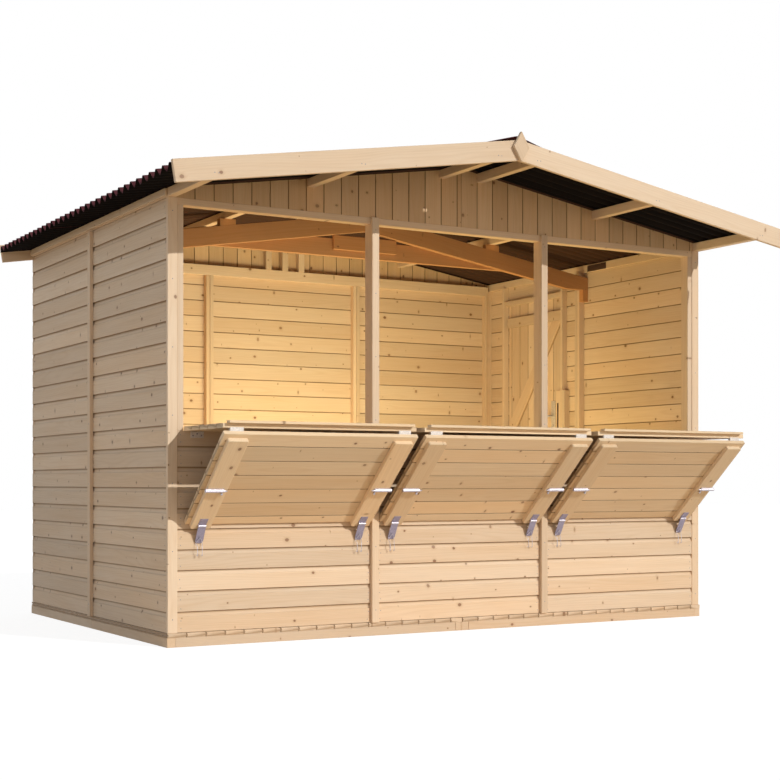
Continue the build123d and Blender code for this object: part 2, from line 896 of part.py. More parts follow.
with BuildPart() as door_hinge_straps:
    for z in hinge_zs:
        block(
            face_x, face_x + door_hinge_thickness,
            hinge_y - door_gap - door_hinge_length, hinge_y - door_knuckle_radius - 1,
            z - door_hinge_height / 2, z + door_hinge_height / 2,
        )
        block(
            face_x, face_x + door_hinge_thickness, hinge_y - door_knuckle_radius - 1, hinge_y,
            z - door_hinge_height / 4, z + door_hinge_height / 4,
        )
        with BuildSketch(Plane(origin=(hinge_x, hinge_y, z - door_hinge_height / 4), z_dir=(0, 0, 1))):
            Circle(door_knuckle_radius)
            Circle(door_pin_radius + door_pin_clearance, mode=Mode.SUBTRACT)
        extrude(amount=door_hinge_height / 2)
save(door_hinge_straps, "door_hinge_straps")

with BuildPart() as door_hinge_plates:
    for z in hinge_zs:
        block(
            face_x, face_x + door_hinge_thickness,
            hinge_y + door_knuckle_radius + 1, hinge_y + door_plate_width,
            z - door_plate_height / 2, z + door_plate_height / 2,
        )
        knuckle = door_plate_height / 2 - door_hinge_height / 4 - door_knuckle_gap
        for zz in (z - door_plate_height / 2, z + door_hinge_height / 4 + door_knuckle_gap):
            with BuildSketch(Plane(origin=(hinge_x, hinge_y, zz), z_dir=(0, 0, 1))):
                Circle(door_knuckle_radius)
            extrude(amount=knuckle)
            block(
                face_x, face_x + door_hinge_thickness, hinge_y, hinge_y + door_knuckle_radius + 1,
                zz, zz + knuckle,
            )
        with BuildSketch(Plane(origin=(hinge_x, hinge_y, z - door_plate_height / 2), z_dir=(0, 0, 1))):
            Circle(door_pin_radius)
        extrude(amount=door_plate_height)
save(door_hinge_plates, "door_hinge_plates")

with BuildPart() as door_lock_block:
    with BuildSketch(Plane.YZ.offset(inner_x - ledge_thickness)) as outline:
        with BuildLine():
            Polyline(
                (door_y0 + lock_recess_width, lock_block_bottom),
                (door_y0 + lock_block_width, lock_block_bottom),
                (door_y0 + lock_block_width, lock_block_top),
                (door_y0, lock_block_top),
                (door_y0, lock_recess_top),
                (door_y0 + lock_recess_width, lock_recess_top),
                close=True,
            )
        make_face()
    extrude(outline.sketch, amount=ledge_thickness)
save(door_lock_block, "door_lock_block")

with BuildPart() as door_lock_case:
    lock_y = door_y0 + lock_block_width + lock_plate_width / 2
    block(
        inner_x - lock_plate_thickness, inner_x,
        lock_y - lock_plate_width / 2, lock_y + lock_plate_width / 2,
        lock_plate_bottom, lock_plate_top,
    )
    # lever handle: a stub out of the plate, and a bar towards the hinges
    with BuildSketch(
        Plane(origin=(inner_x - lock_plate_thickness, lock_y, lock_handle_height), z_dir=(-1, 0, 0))
    ) as outline:
        Circle(lock_handle_radius)
    extrude(outline.sketch, amount=lock_handle_out)
    with BuildSketch(
        Plane(
            origin=(
                inner_x - lock_plate_thickness - lock_handle_out,
                lock_y - lock_handle_radius,
                lock_handle_height,
            ),
            z_dir=(0, 1, 0),
        )
    ) as outline:
        Circle(lock_handle_radius)
    extrude(outline.sketch, amount=lock_handle_length)
save(door_lock_case, "door_lock_case")

with BuildPart() as door_lock_keep:
    block(
        inner_x - stud_depth, inner_x,
        door_front_edge - stud_width - keep_thickness, door_front_edge - stud_width,
        lock_block_bottom, lock_block_top,
    )
save(door_lock_keep, "door_lock_keep")

with BuildPart() as eave_cover_plate:
    purlin_face = face_x - purlin_width
    block(
        purlin_face - cover_plate_thickness, purlin_face,
        cover_plate_front, cover_plate_front + cover_plate_length,
        wall_top + 1, wall_top + 1 + cover_plate_height,
    )
save(eave_cover_plate, "eave_cover_plate")
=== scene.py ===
"""Wooden market stall: boards, timbers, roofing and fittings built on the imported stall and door.

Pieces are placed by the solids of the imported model, in metres, +Z up, with the serving front towards -Y.
"""

import random
from math import cos, pi, radians, sin, sqrt

import bmesh
import bpy
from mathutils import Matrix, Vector


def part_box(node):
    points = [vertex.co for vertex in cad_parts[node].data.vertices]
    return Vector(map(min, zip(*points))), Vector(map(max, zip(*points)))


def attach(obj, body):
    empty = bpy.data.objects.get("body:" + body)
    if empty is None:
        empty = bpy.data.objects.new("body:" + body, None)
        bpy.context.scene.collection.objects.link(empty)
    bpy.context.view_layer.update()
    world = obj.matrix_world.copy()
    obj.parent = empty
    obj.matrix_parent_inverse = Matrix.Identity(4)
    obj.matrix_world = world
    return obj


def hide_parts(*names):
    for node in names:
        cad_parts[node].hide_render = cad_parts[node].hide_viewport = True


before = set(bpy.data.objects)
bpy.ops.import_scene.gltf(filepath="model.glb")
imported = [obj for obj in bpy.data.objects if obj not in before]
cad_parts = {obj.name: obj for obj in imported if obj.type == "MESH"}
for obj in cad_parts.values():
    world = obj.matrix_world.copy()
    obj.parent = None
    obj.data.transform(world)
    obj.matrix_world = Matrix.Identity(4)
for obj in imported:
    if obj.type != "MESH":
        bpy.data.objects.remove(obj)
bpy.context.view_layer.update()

bl_info = {
    "name": "Wooden Market Stall",
    "version": (1, 0, 0),
    "blender": (4, 5, 0),
    "location": "3D View > Sidebar > Stall",
    "description": "Builds a boarded market stall with folding counters on its packed frame",
    "category": "Add Mesh",
}

X = Vector((1, 0, 0))
Y = Vector((0, 1, 0))
Z = Vector((0, 0, 1))
SLIVER = 0.001  # a board narrower than this is left out


# ---------------------------------------------------------------- sizes and colours
def length(label, default, about):
    return bpy.props.FloatProperty(
        name=label, description=about, default=default, min=0.0, unit="LENGTH", precision=4
    )


def colour(label, default, about):
    return bpy.props.FloatVectorProperty(
        name=label, description=about, default=default, size=3, min=0.0, max=1.0, subtype="COLOR"
    )


class StallSizes(bpy.types.PropertyGroup):
    """Sizes of the boards and of the finishing details."""

    board_pitch: length("Board pitch", 0.0915, "Cover width of one tongue-and-groove board")
    eased_edge: length("Eased edge", 0.0016, "Chamfer along the edges of a planed timber")
    joint_gap: length("Joint gap", 0.0034, "Open width of a joint between two boards")
    leaf_first_joint: length("Leaf first joint", 0.0755, "From a hanging leaf's hinge to its first joint")
    door_first_joint: length("Door first joint", 0.021, "From the door's front edge to its first board joint")
    shelf_first_joint: length("Shelf first joint", 0.089, "From the wall to a shelf's first board joint")
    cove_width: length("Cove width", 0.020, "Width of the cove at a board's top edge")
    cove_depth: length("Cove depth", 0.0070, "Depth of the cove at a board's top edge")
    batten_reach: length("Batten reach", 0.024, "How far a leaf's battens reach past the packed ones")
    latch_slide: length("Latch slide", 0.014, "How far the latches sit down the battens from the packed ones")
    middle_ledge_top: length("Middle ledge top", 0.956, "Height of the top edge of the door's middle ledge")
    ledge_width: length("Ledge width", 0.061, "Width of the door's three ledges")
    ledge_raise: length("Ledge raise", 0.012, "Height of the top ledge over the packed one")
    brace_width: length("Brace width", 0.076, "Width of the door's two braces")
    nail_radius: length("Nail radius", 0.0021, "Radius of a nail head in the boarding")
    wave_pitch: length("Wave pitch", 0.0762, "Distance between two crests of the roof sheets")
    wave_height: length("Wave height", 0.030, "Height of a crest over a trough")
    sheet_thickness: length("Sheet thickness", 0.003, "Thickness of the roof sheets")
    roof_pitch: bpy.props.FloatProperty(
        name="Roof pitch", description="Slope of both roof faces", default=radians(9.26), subtype="ANGLE"
    )
    sheets_per_side: bpy.props.IntProperty(
        name="Sheets a side", description="Roof sheets laid side by side on each slope", default=3, min=1
    )


class StallColours(bpy.types.PropertyGroup):
    """Colours of the timber, the roofing and the fittings."""

    spruce: colour("Spruce", (0.76, 0.59, 0.43), "Early wood of planed spruce")
    late_wood: colour("Late wood", (0.60, 0.39, 0.215), "Darker lines of the yearly rings")
    warm_board: colour("Warm board", (0.735, 0.52, 0.335), "The more yellow boards of a pack")
    knot: colour("Knot", (0.22, 0.105, 0.055), "Heart of a knot")
    knot_ring: colour("Knot ring", (0.43, 0.235, 0.105), "Wood around a knot")
    # painted shade inside board joints and along the door ledges' sides
    joint: colour("Joint", (0.27, 0.155, 0.07), "Wood deep in a joint between two boards")
    roof: colour("Roof", (0.085, 0.021, 0.026), "Weather side of the roof sheets")
    roof_worn: colour("Roof highlight", (0.13, 0.040, 0.045), "Roof colour where the coat is thin")
    roof_under: colour("Roof underside", (0.009, 0.007, 0.0065), "Uncoated side of the roof sheets")
    # painted light: the underside over the room, lighter and warmer than over the eaves
    roof_room_painted_light: colour("Roof over the room", (0.085, 0.045, 0.030), "Underside of the sheets over the room")
    zinc: colour("Zinc", (0.60, 0.55, 0.60), "Bright zinc-plated steel")
    hinge: colour("Hinge", (0.76, 0.69, 0.64), "Pale zinc of the hatch hinges")
    lever: colour("Lever", (0.42, 0.36, 0.44), "Passivated steel of the hanging levers")
    # also the colour of the painted shade on the door's lock block
    dark_plate: colour("Dark plate", (0.075, 0.042, 0.030), "Plain cover plate")
    floor: colour("Floor", (0.82, 0.62, 0.39), "Studio floor, as the stall is lit from it")


# ---------------------------------------------------------------- shader expressions
def arithmetic(operation, swapped=False):
    """A method that makes a maths node of a value and the other terms."""

    def method(self, *others):
        terms = (self, *others)
        numbered = dict(enumerate(terms[::-1] if swapped else terms))
        return self.shader.add("ShaderNodeMath", {"operation": operation}, numbered)

    return method


class Value:
    """A shader socket that takes part in Python arithmetic."""

    __add__ = __radd__ = arithmetic("ADD")
    __mul__ = __rmul__ = arithmetic("MULTIPLY")
    __sub__ = arithmetic("SUBTRACT")
    __rsub__ = arithmetic("SUBTRACT", swapped=True)
    __truediv__ = arithmetic("DIVIDE")
    __pow__ = arithmetic("POWER")
    __lt__ = arithmetic("LESS_THAN")
    __gt__ = arithmetic("GREATER_THAN")
    sine = arithmetic("SINE")
    root = arithmetic("SQRT")
    fraction = arithmetic("FRACT")
    largest = arithmetic("MAXIMUM")
    smallest = arithmetic("MINIMUM")

    def __init__(self, shader, socket):
        self.shader, self.socket = shader, socket

    def limited(self):
        """Kept between 0 and 1."""
        return self.largest(0.0).smallest(1.0)


class Shader:
    """One material's or world's node tree."""

    def __init__(self, owner):
        owner.use_nodes = True
        self.tree = owner.node_tree
        self.tree.nodes.clear()

    def add(self, kind, settings=None, inputs=None, output=0):
        """A node of any type: its settings first, then the values or links of its sockets."""
        node = self.tree.nodes.new(kind)
        for name, value in (settings or {}).items():
            setattr(node, name, value)
        for key, value in (inputs or {}).items():
            socket = node.inputs[key]
            if isinstance(value, Value):
                self.tree.links.new(value.socket, socket)
            elif isinstance(value, (tuple, list)) and len(value) == 3 and len(socket.default_value) == 4:
                socket.default_value = (*value, 1.0)
            else:
                socket.default_value = value
        return Value(self, node.outputs[output])

    def more(self, value, output):
        """Another output of the node behind a value."""
        return Value(self, value.socket.node.outputs[output])

    def blend(self, a, b, share, mode="MIX"):
        """Colour a turned towards colour b."""
        sockets = {0: share, 6: a, 7: b}
        settings = {"data_type": "RGBA", "blend_type": mode}
        return self.add("ShaderNodeMix", settings, sockets, 2)

    def point(self, x, y, z):
        return self.add("ShaderNodeCombineXYZ", None, {0: x, 1: y, 2: z})

    def parts(self, vector):
        first = self.add("ShaderNodeSeparateXYZ", None, {0: vector})
        return first, self.more(first, 1), self.more(first, 2)

    def noise(self, vector, scale, detail=2.0, roughness=0.5):
        inputs = {"Vector": vector, "Scale": scale, "Detail": detail, "Roughness": roughness}
        return self.add("ShaderNodeTexNoise", None, inputs)

    def attribute(self, name, output):
        return self.add("ShaderNodeAttribute", {"attribute_name": name}, None, output)

    def place(self):
        """Where a point lies on its own object."""
        return self.add("ShaderNodeTexCoord", None, None, "Object")

    def bump(self, strength, distance, height):
        inputs = {"Strength": strength, "Distance": distance, "Height": height}
        return self.add("ShaderNodeBump", None, inputs)

    def principled(self, inputs):
        return self.add("ShaderNodeBsdfPrincipled", None, inputs)

    def close(self, surface, kind="ShaderNodeOutputMaterial"):
        out = self.tree.nodes.new(kind)
        self.tree.links.new(surface.socket, out.inputs["Surface"])


def new_material(name):
    material = bpy.data.materials.new(name)
    return material, Shader(material)


def spruce(name, warmth=0.0, shade=1.0, knots=0.58, tint=(1.0, 1.0, 1.0)):
    """Planed spruce that follows each board's own run of grain.

    warmth turns the pack towards its yellow boards, shade is its lightness, knots is the share of
    knotty places, and tint colours the whole. The gable and truss finishes use tint for painted shade,
    and the hatch finish uses shade and tint for painted light.
    """
    tones = bpy.context.scene.stall_colours
    material, s = new_material(name)
    along, across, depth = s.parts(s.attribute("grain", "Vector"))
    tone = s.attribute("tone", "Fac")
    far_along = along + tone * 91.7
    far_across = across + tone * 37.3

    # knots: one place in each cell, some of them empty
    cells_along, cells_across = 5.2, 15.0
    cell = s.point(far_along * cells_along, far_across * cells_across, 0.0)
    spread = {"Vector": cell, "Scale": 1.0, "Randomness": 0.9}
    spot = s.add("ShaderNodeTexVoronoi", {"voronoi_dimensions": "2D"}, spread, "Position")
    chance, size, lean = s.parts(s.more(spot, "Color"))
    offset = s.add("ShaderNodeVectorMath", {"operation": "SUBTRACT"}, {0: spot, 1: cell})
    gap_x, gap_y, _ = s.parts(offset)
    dx, dy = gap_x / cells_along, gap_y / cells_across
    ragged = s.noise(s.point(far_along, far_across, depth), 140.0) * 0.0030 - 0.0015
    drawn = (lean - 0.55).largest(0.0)
    reach = (dx * dx * (drawn * 4.0 + 0.7) + dy * dy * (1.1 - drawn * 1.9)).root() + ragged
    here = chance < knots
    radius = size * size * 0.0068 + 0.0018
    heart = ((radius - reach) * 520.0 + 0.5).limited() * here
    halo = (1.0 - reach / (radius * 3.2)).limited() * here

    # yearly rings around a pith that lies behind each board
    pith = ((tone * 7.31).fraction() - 0.5) * 0.16 + 0.045
    sunk = (tone * 3.77).fraction() * 0.05 + 0.012
    wander = s.noise(s.point(far_along * 1.1, far_across * 5.0, depth * 5.0), 1.0, 1.5) * 0.075
    side, back = across - pith, depth + sunk
    ring_radius = (side * side + back * back).root() + wander + halo * 0.0075
    rings = ((ring_radius * 820.0).sine() * 0.5 + 0.5) ** 2.6

    fibre = s.noise(s.point(far_along * 7.0, far_across * 420.0, depth * 420.0), 1.0, 2.0)
    streak = s.noise(s.point(far_along * 1.6, far_across * 46.0, depth * 46.0), 1.0, 3.0, 0.6)
    cloud = s.noise(s.point(far_along * 2.0, far_across * 9.0, depth * 9.0), 1.0, 2.0)

    warm = ((tone * 13.7).fraction() * 0.62 + (cloud - 0.5) * 1.1 + warmth).limited()
    wood = s.blend(tuple(tones.spruce), tuple(tones.warm_board), warm)
    ring_share = (rings * 0.30 + (streak - 0.44) * 1.15).limited() * 0.52
    wood = s.blend(wood, tuple(tones.late_wood), ring_share)
    pale = (0.87 + (tone * 29.3).fraction() * 0.20 + (fibre - 0.5) * 0.16) * shade
    wood = s.blend(wood, s.point(pale * tint[0], pale * tint[1], pale * tint[2]), 1.0, "MULTIPLY")
    wood = s.blend(wood, tuple(tones.knot_ring), halo * halo * 0.6)
    wood = s.blend(wood, tuple(tones.knot), heart * (0.9 - lean * 0.5))
    # painted shade: the wood darkens inside joints, on tongue cores and along the door ledges' sides
    seam = s.attribute("seam", "Fac")
    wood = s.blend(wood, tuple(tones.joint), seam * 0.75)

    height = rings * 0.3 + fibre * 0.55 + streak * 0.3 - heart * 0.5
    bump = s.bump(0.35, 0.0007, height)
    rough = 0.60 + (streak - 0.5) * 0.22 + heart * -0.16
    surface = {"Base Color": wood, "Roughness": rough, "Normal": bump, "Specular IOR Level": 0.28}
    s.close(s.principled(surface))
    return material


def zinc(name, dull=0.0, base=None, metal=0.8):
    """Bright zinc-plated steel with faint spangle and handling marks."""
    tones = bpy.context.scene.stall_colours
    base = tuple(base or tones.zinc)
    material, s = new_material(name)
    place = s.place()
    flake = s.add("ShaderNodeTexVoronoi", None, {"Vector": place, "Scale": 260.0}, "Color")
    grey, _, _ = s.parts(flake)
    marks = s.noise(place, 85.0, 4.0, 0.65)
    pale = 0.78 + grey * 0.20 + (marks - 0.5) * 0.25 - dull
    coat = s.blend(base, s.point(pale, pale, pale), 1.0, "MULTIPLY")
    rough = 0.30 + grey * 0.10 + marks * 0.16 + dull
    bump = s.bump(0.12, 0.0003, marks)
    s.close(s.principled({"Base Color": coat, "Metallic": metal, "Roughness": rough, "Normal": bump}))
    return material


def bitumen(name, under=False):
    """Fibre-bitumen roofing: a mottled matt coat above, bare dark fibre below, with painted light over the
    room.
    """
    tones = bpy.context.scene.stall_colours
    material, s = new_material(name)
    place = s.place()
    speck = s.noise(place, 190.0, 4.0, 0.7)
    patch = s.noise(place, 5.0, 3.0)
    if under:
        base, worn = tuple(tones.roof_under), (0.020, 0.015, 0.013)
    else:
        base, worn = tuple(tones.roof), tuple(tones.roof_worn)
    share = ((speck - 0.42) * 1.6 + (patch - 0.5) * 0.9).limited() * 0.7
    coat = s.blend(base, worn, share)
    if under:
        # painted light over the room, where the underside turns lighter and warmer; bare fibre over the eaves
        low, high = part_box("floor_boards")
        x, y, _ = s.parts(place)
        room = (x > low.x) * (x < high.x) * (y > low.y) * (y < high.y)
        coat = s.blend(coat, tuple(tones.roof_room_painted_light), room * 0.8)
    bump = s.bump(0.5, 0.0012, speck)
    rough = 0.74 + (speck - 0.5) * 0.3
    shine = 0.04 if under else 0.15
    surface = {"Base Color": coat, "Roughness": rough, "Normal": bump, "Specular IOR Level": shine}
    s.close(s.principled(surface))
    return material


def painted_plate(name):
    """The plain dark plate under the eave, also used for the painted shade on the lock block."""
    tones = bpy.context.scene.stall_colours
    material, s = new_material(name)
    place = s.place()
    mottle = s.noise(place, 60.0, 3.0)
    shade = 0.8 + mottle * 0.4
    coat = s.blend(tuple(tones.dark_plate), s.point(shade, shade, shade), 1.0, "MULTIPLY")
    bump = s.bump(0.2, 0.0004, mottle)
    s.close(s.principled({"Base Color": coat, "Roughness": 0.45 + mottle * 0.2, "Normal": bump}))
    return material


_made = {}


def finish(kind):
    """The material of one finish, made once."""
    tones = bpy.context.scene.stall_colours
    makers = {
        "cladding": lambda: spruce("spruce_cladding"),
        # painted shade: a browner copy of the spruce for the gables under the eaves
        "gable_cladding_painted_shade": lambda: spruce("spruce_gable_painted_shade", tint=(0.97, 0.88, 0.74)),
        "planed_timber": lambda: spruce("spruce_planed", warmth=-0.05, knots=0.34),
        # painted shade: a darker, browner and warmer copy of the spruce for the truss
        "truss_timber_painted_shade": lambda: spruce("spruce_truss_painted_shade", warmth=0.2, tint=(0.73, 0.50, 0.32)),
        "floor_timber": lambda: spruce("spruce_floor", shade=0.95),
        # painted light: a lighter, yellower copy of the spruce for the counters and hanging leaves
        "hatch_timber": lambda: spruce("spruce_hatch_painted_light", warmth=0.02, shade=1.10, tint=(1.0, 1.01, 0.96)),
        "door_timber": lambda: spruce("spruce_door", warmth=0.06),
        "roof_sheet": lambda: bitumen("bitumen_sheet"),
        "roof_under": lambda: bitumen("bitumen_underside", under=True),
        "ridge_cap": lambda: bitumen("bitumen_cap"),
        "galvanised_steel": lambda: zinc("zinc_fittings"),
        "hinge_steel": lambda: zinc("zinc_hinges", base=tones.hinge, metal=0.25),
        "lever_steel": lambda: zinc("zinc_levers", dull=0.1, base=tones.lever),
        "nail_steel": lambda: zinc("zinc_nails", dull=0.28),
        "dark_plate": lambda: painted_plate("dark_plate"),
    }
    if kind not in _made:
        _made[kind] = makers[kind]()
    return _made[kind]


# ---------------------------------------------------------------- mesh building
def rectangle(u0, v0, u1, v1):
    """The corners of an upright rectangle between two opposite ones."""
    return [(u0, v0), (u1, v0), (u1, v1), (u0, v1)]


def circle(centre, side, up, radius, sides):
    turns = [2 * pi * k / sides for k in range(sides)]
    return [centre + (side * cos(turn) + up * sin(turn)) * radius for turn in turns]


def ring_faces(rows, sides, hollow=False):
    """Faces that join rows of points into a skin.

    Both ends are closed, or in a hollow skin the last row joins the first.
    """
    faces = []
    for r in range(rows if hollow else rows - 1):
        a, b = r * sides, (r + 1) % rows * sides
        for k in range(sides):
            j = (k + 1) % sides
            faces.append([a + k, a + j, b + j, b + k])
    if not hollow:
        faces.append(list(range(sides))[::-1])
        faces.append([(rows - 1) * sides + k for k in range(sides)])
    return faces


class Piece:
    """Collects the parts of one piece; each keeps its own grain and tone."""

    def __init__(self, name):
        self.name = name
        self.chance = random.Random(name)
        self.points, self.faces, self.grain, self.tones, self.slots, self.joint_shade_marks = [], [], [], [], [], []

    def tone(self):
        return self.chance.random()

    def take(self, points, faces, axes, tone, slot=0, origin=None, joint_shade_marks=None):
        """Adds a closed shape. axes are its directions along, across and through the grain.

        The last argument holds 1 for each point that gets painted shade in a joint, and 0 for the others.
        """
        along, across, depth = axes
        if origin is None:
            origin = [min(p.dot(axis) for p in points) for axis in axes]
        start = len(self.points)
        for p in points:
            self.points.append(p[:])
            self.grain.append((p.dot(along) - origin[0], p.dot(across) - origin[1], p.dot(depth) - origin[2]))
            self.tones.append(tone)
        self.joint_shade_marks += joint_shade_marks or [0.0] * len(points)
        self.faces += [[start + i for i in face] for face in faces]
        self.slots += [slot] * len(faces)

    def prism(self, outline, low, high, axes, tone, origin=None, joint_shade_marks=None):
        """A straight bar: outline points (across, through) drawn out along the first axis."""
        along, across, depth = axes
        n = len(outline)
        points = [along * end + across * u + depth * v for end in (low, high) for u, v in outline]
        sides = [[i, (i + 1) % n, n + (i + 1) % n, n + i] for i in range(n)]
        caps = [list(range(n))[::-1], list(range(n, 2 * n))]
        area = sum(
            outline[i][0] * outline[(i + 1) % n][1] - outline[(i + 1) % n][0] * outline[i][1]
            for i in range(n)
        )
        turned = area * across.cross(depth).dot(along) < 0
        faces = [face[::-1] if turned else face for face in sides + caps]
        self.take(points, faces, axes, tone, origin=origin, joint_shade_marks=joint_shade_marks and joint_shade_marks * 2)

    def lathe(self, base, axis, profile, sides=20, slot=0, hollow=False):
        """A turned part: (radius, height) pairs along an axis, closed at both ends.

        A hollow part's outline closes on itself, and it has no ends.
        """
        axis = axis.normalized()
        side = axis.orthogonal().normalized()
        up = axis.cross(side)
        points = []
        for radius, height in profile:
            points += circle(base + axis * height, side, up, radius, sides)
        self.take(points, ring_faces(len(profile), sides, hollow), (axis, side, up), 0.5, slot)

    def wire(self, path, radius, sides=8):
        """A bent round wire along a path."""
        points = []
        n = len(path)
        side = None
        for i, p in enumerate(path):
            ahead = (path[min(i + 1, n - 1)] - path[max(i - 1, 0)]).normalized()
            if side is None:
                side = ahead.orthogonal().normalized()
            side = (side - ahead * side.dot(ahead)).normalized()
            points += circle(p, side, ahead.cross(side), radius, sides)
        self.take(points, ring_faces(n, sides), (X, Y, Z), 0.5)

    def head(self, place, out, radius, rise, sides=10):
        """A low domed nail or screw head standing on a surface."""
        dome = [(radius, -0.0004), (radius, rise * 0.4), (radius * 0.72, rise * 0.85), (radius * 0.25, rise)]
        self.lathe(place, out, dome, sides)

    def bevelled(self, mesh, edge, axes, tone, segments=1, lengthwise=None, dark=None):
        """Takes a bmesh with its sharp edges eased, or only those that run lengthwise.

        dark says of a point whether it lies in a joint, where it gets painted shade. The mesh is freed.
        """
        sharp = [e for e in mesh.edges if len(e.link_faces) == 2 and e.calc_face_angle(0) > radians(20)]
        if lengthwise:
            sharp = [
                e for e in sharp
                if abs((e.verts[1].co - e.verts[0].co).normalized().dot(lengthwise)) > 0.97
            ]
        if sharp and edge > 0:
            bmesh.ops.bevel(
                mesh, geom=sharp, offset=edge, segments=segments, profile=0.5,
                affect="EDGES", clamp_overlap=True,
            )
        mesh.verts.index_update()
        points = [v.co.copy() for v in mesh.verts]
        faces = [[v.index for v in f.verts] for f in mesh.faces]
        self.take(points, faces, axes, tone, joint_shade_marks=dark and [1.0 if dark(p) else 0.0 for p in points])
        mesh.free()

    def bar(self, outline, low, high, axes, edge, tone=None, grain=None, segments=1, dark=None):
        """A prism with eased edges."""
        loose = Piece("loose")
        loose.prism(outline, low, high, axes, 0)
        mesh = bmesh.new()
        corners = [mesh.verts.new(p) for p in loose.points]
        for face in loose.faces:
            mesh.faces.new([corners[i] for i in face])
        mesh.normal_update()
        tone = self.tone() if tone is None else tone
        self.bevelled(mesh, edge, grain or axes, tone, segments, dark=dark)

    def plate(self, outline, low, high, axes, edge, **options):
        """A bar of metal, which has no tone of its own."""
        self.bar(outline, low, high, axes, edge, tone=0.5, **options)

    def build(self, materials, body, slot, *nodes, smooth=None):
        """Makes the object, finishes it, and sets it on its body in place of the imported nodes."""
        mesh = bpy.data.meshes.new(self.name)
        mesh.from_pydata(self.points, [], self.faces)
        grain = mesh.attributes.new("grain", "FLOAT_VECTOR", "POINT")
        grain.data.foreach_set("vector", [c for g in self.grain for c in g])
        tone = mesh.attributes.new("tone", "FLOAT", "POINT")
        tone.data.foreach_set("value", self.tones)
        # painted joint shade, one value a point
        seam = mesh.attributes.new("seam", "FLOAT", "POINT")
        seam.data.foreach_set("value", self.joint_shade_marks)
        for kind in materials:
            mesh.materials.append(finish(kind))
        mesh.polygons.foreach_set("material_index", self.slots)
        if smooth:
            mesh.shade_smooth()
            mesh.set_sharp_from_angle(angle=radians(smooth))
        mesh.validate()
        mesh.update()
        thing = bpy.data.objects.new(self.name, mesh)
        bpy.context.scene.collection.objects.link(thing)
        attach(thing, body)
        if nodes:
            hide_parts(*nodes)
        return thing


def solids(node):
    """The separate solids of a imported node, each a clean bmesh."""
    whole = bmesh.new()
    whole.from_mesh(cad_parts[node].data)
    bmesh.ops.remove_doubles(whole, verts=whole.verts, dist=2e-5)
    bmesh.ops.dissolve_limit(whole, angle_limit=radians(1.0), verts=whole.verts, edges=whole.edges)
    whole.verts.index_update()
    seen, found = set(), []
    for first in whole.verts:
        if first in seen:
            continue
        island, waiting = [], [first]
        seen.add(first)
        while waiting:
            v = waiting.pop()
            island.append(v)
            for e in v.link_edges:
                other = e.other_vert(v)
                if other not in seen:
                    seen.add(other)
                    waiting.append(other)
        island.sort(key=lambda v: v.index)
        part = bmesh.new()
        copies = {v: part.verts.new(v.co) for v in island}
        faces = {f for v in island for f in v.link_faces}
        for f in sorted(faces, key=lambda f: [v.index for v in f.verts]):
            part.faces.new([copies[v] for v in f.verts])
        part.normal_update()
        found.append(part)
    whole.free()
    return found


def boxes(node):
    """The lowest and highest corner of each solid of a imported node, from left to right."""
    found = []
    for part in solids(node):
        places = [v.co for v in part.verts]
        low = Vector([min(p[i] for p in places) for i in range(3)])
        high = Vector([max(p[i] for p in places) for i in range(3)])
        found.append((low, high))
        part.free()
    return sorted(found, key=lambda b: [round(c, 4) for c in b[0]])


def between(node, left, right):
    """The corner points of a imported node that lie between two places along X."""
    places = [v.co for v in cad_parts[node].data.vertices]
    return [p for p in places if left - 1e-4 <= p.x <= right + 1e-4]


def timber_axes(part):
    """Directions along, across and through one timber: its longest edge, and its broadest face."""
    longest = max(part.edges, key=lambda e: e.calc_length())
    along = (longest.verts[1].co - longest.verts[0].co).normalized()
    if along.dot(X + Y * 0.5 + Z * 0.25) < 0:
        along = -along
    broad = max(
        (f for f in part.faces if abs(f.normal.dot(along)) < 0.5), key=lambda f: f.calc_area()
    )
    depth = broad.normal.normalized()
    depth = (depth - along * depth.dot(along)).normalized()
    return along, depth.cross(along), depth


def timbers(name, body, slot, *nodes, edge=None, kind=None):
    """Every solid of the nodes as a planed timber with eased edges and its own grain."""
    sizes = bpy.context.scene.stall_sizes
    piece = Piece(name)
    for node in nodes:
        for part in solids(node):
            piece.bevelled(part, sizes.eased_edge if edge is None else edge, timber_axes(part), piece.tone())
    return piece.build([kind or slot], body, slot, *nodes)


def clipped(outline, low, high):
    """The part of an outline whose across position lies between two limits."""
    for limit, keep in ((low, 1), (high, -1)):
        kept = []
        for (u0, v0), (u1, v1) in zip(outline, outline[1:] + outline[:1]):
            inside0, inside1 = (u0 - limit) * keep >= 0, (u1 - limit) * keep >= 0
            if inside0:
                kept.append((u0, v0))
            if inside0 != inside1:
                share = (limit - u0) / (u1 - u0)
                kept.append((limit, v0 + (v1 - v0) * share))
        outline = kept
    return outline


def board_outline(pitch, thickness, cove=True):
    """Cross-section of a tongue-and-groove board: groove below, tongue above, face side last."""
    sizes = bpy.context.scene.stall_sizes
    half = sizes.joint_gap / 2
    ease, slack, tongue = sizes.eased_edge, 0.0003, 0.005
    tongue_low, tongue_high = 0.36, 0.60
    low, high = thickness * tongue_low, thickness * tongue_high
    if cove:
        width, deep = sizes.cove_width, sizes.cove_depth
        steps = [0.0, 0.35, 0.6, 0.8, 0.93, 1.0]
        top = [(pitch - half - width * s, thickness - deep * sqrt(1 - s * s)) for s in steps]
    else:
        top = [(pitch - half, thickness - ease), (pitch - half - ease, thickness)]
    return [
        (half + ease, 0.0), (pitch - half - ease, 0.0), (pitch - half, ease),
        (pitch - half, low), (pitch + tongue, low + slack),
        (pitch + tongue, high - slack), (pitch - half, high),
        *top,
        (half + ease / 2, thickness), (half, thickness - ease / 2),
        (half, high), (half + tongue + slack, high), (half + tongue + slack, low), (half, low), (half, ease),
    ]


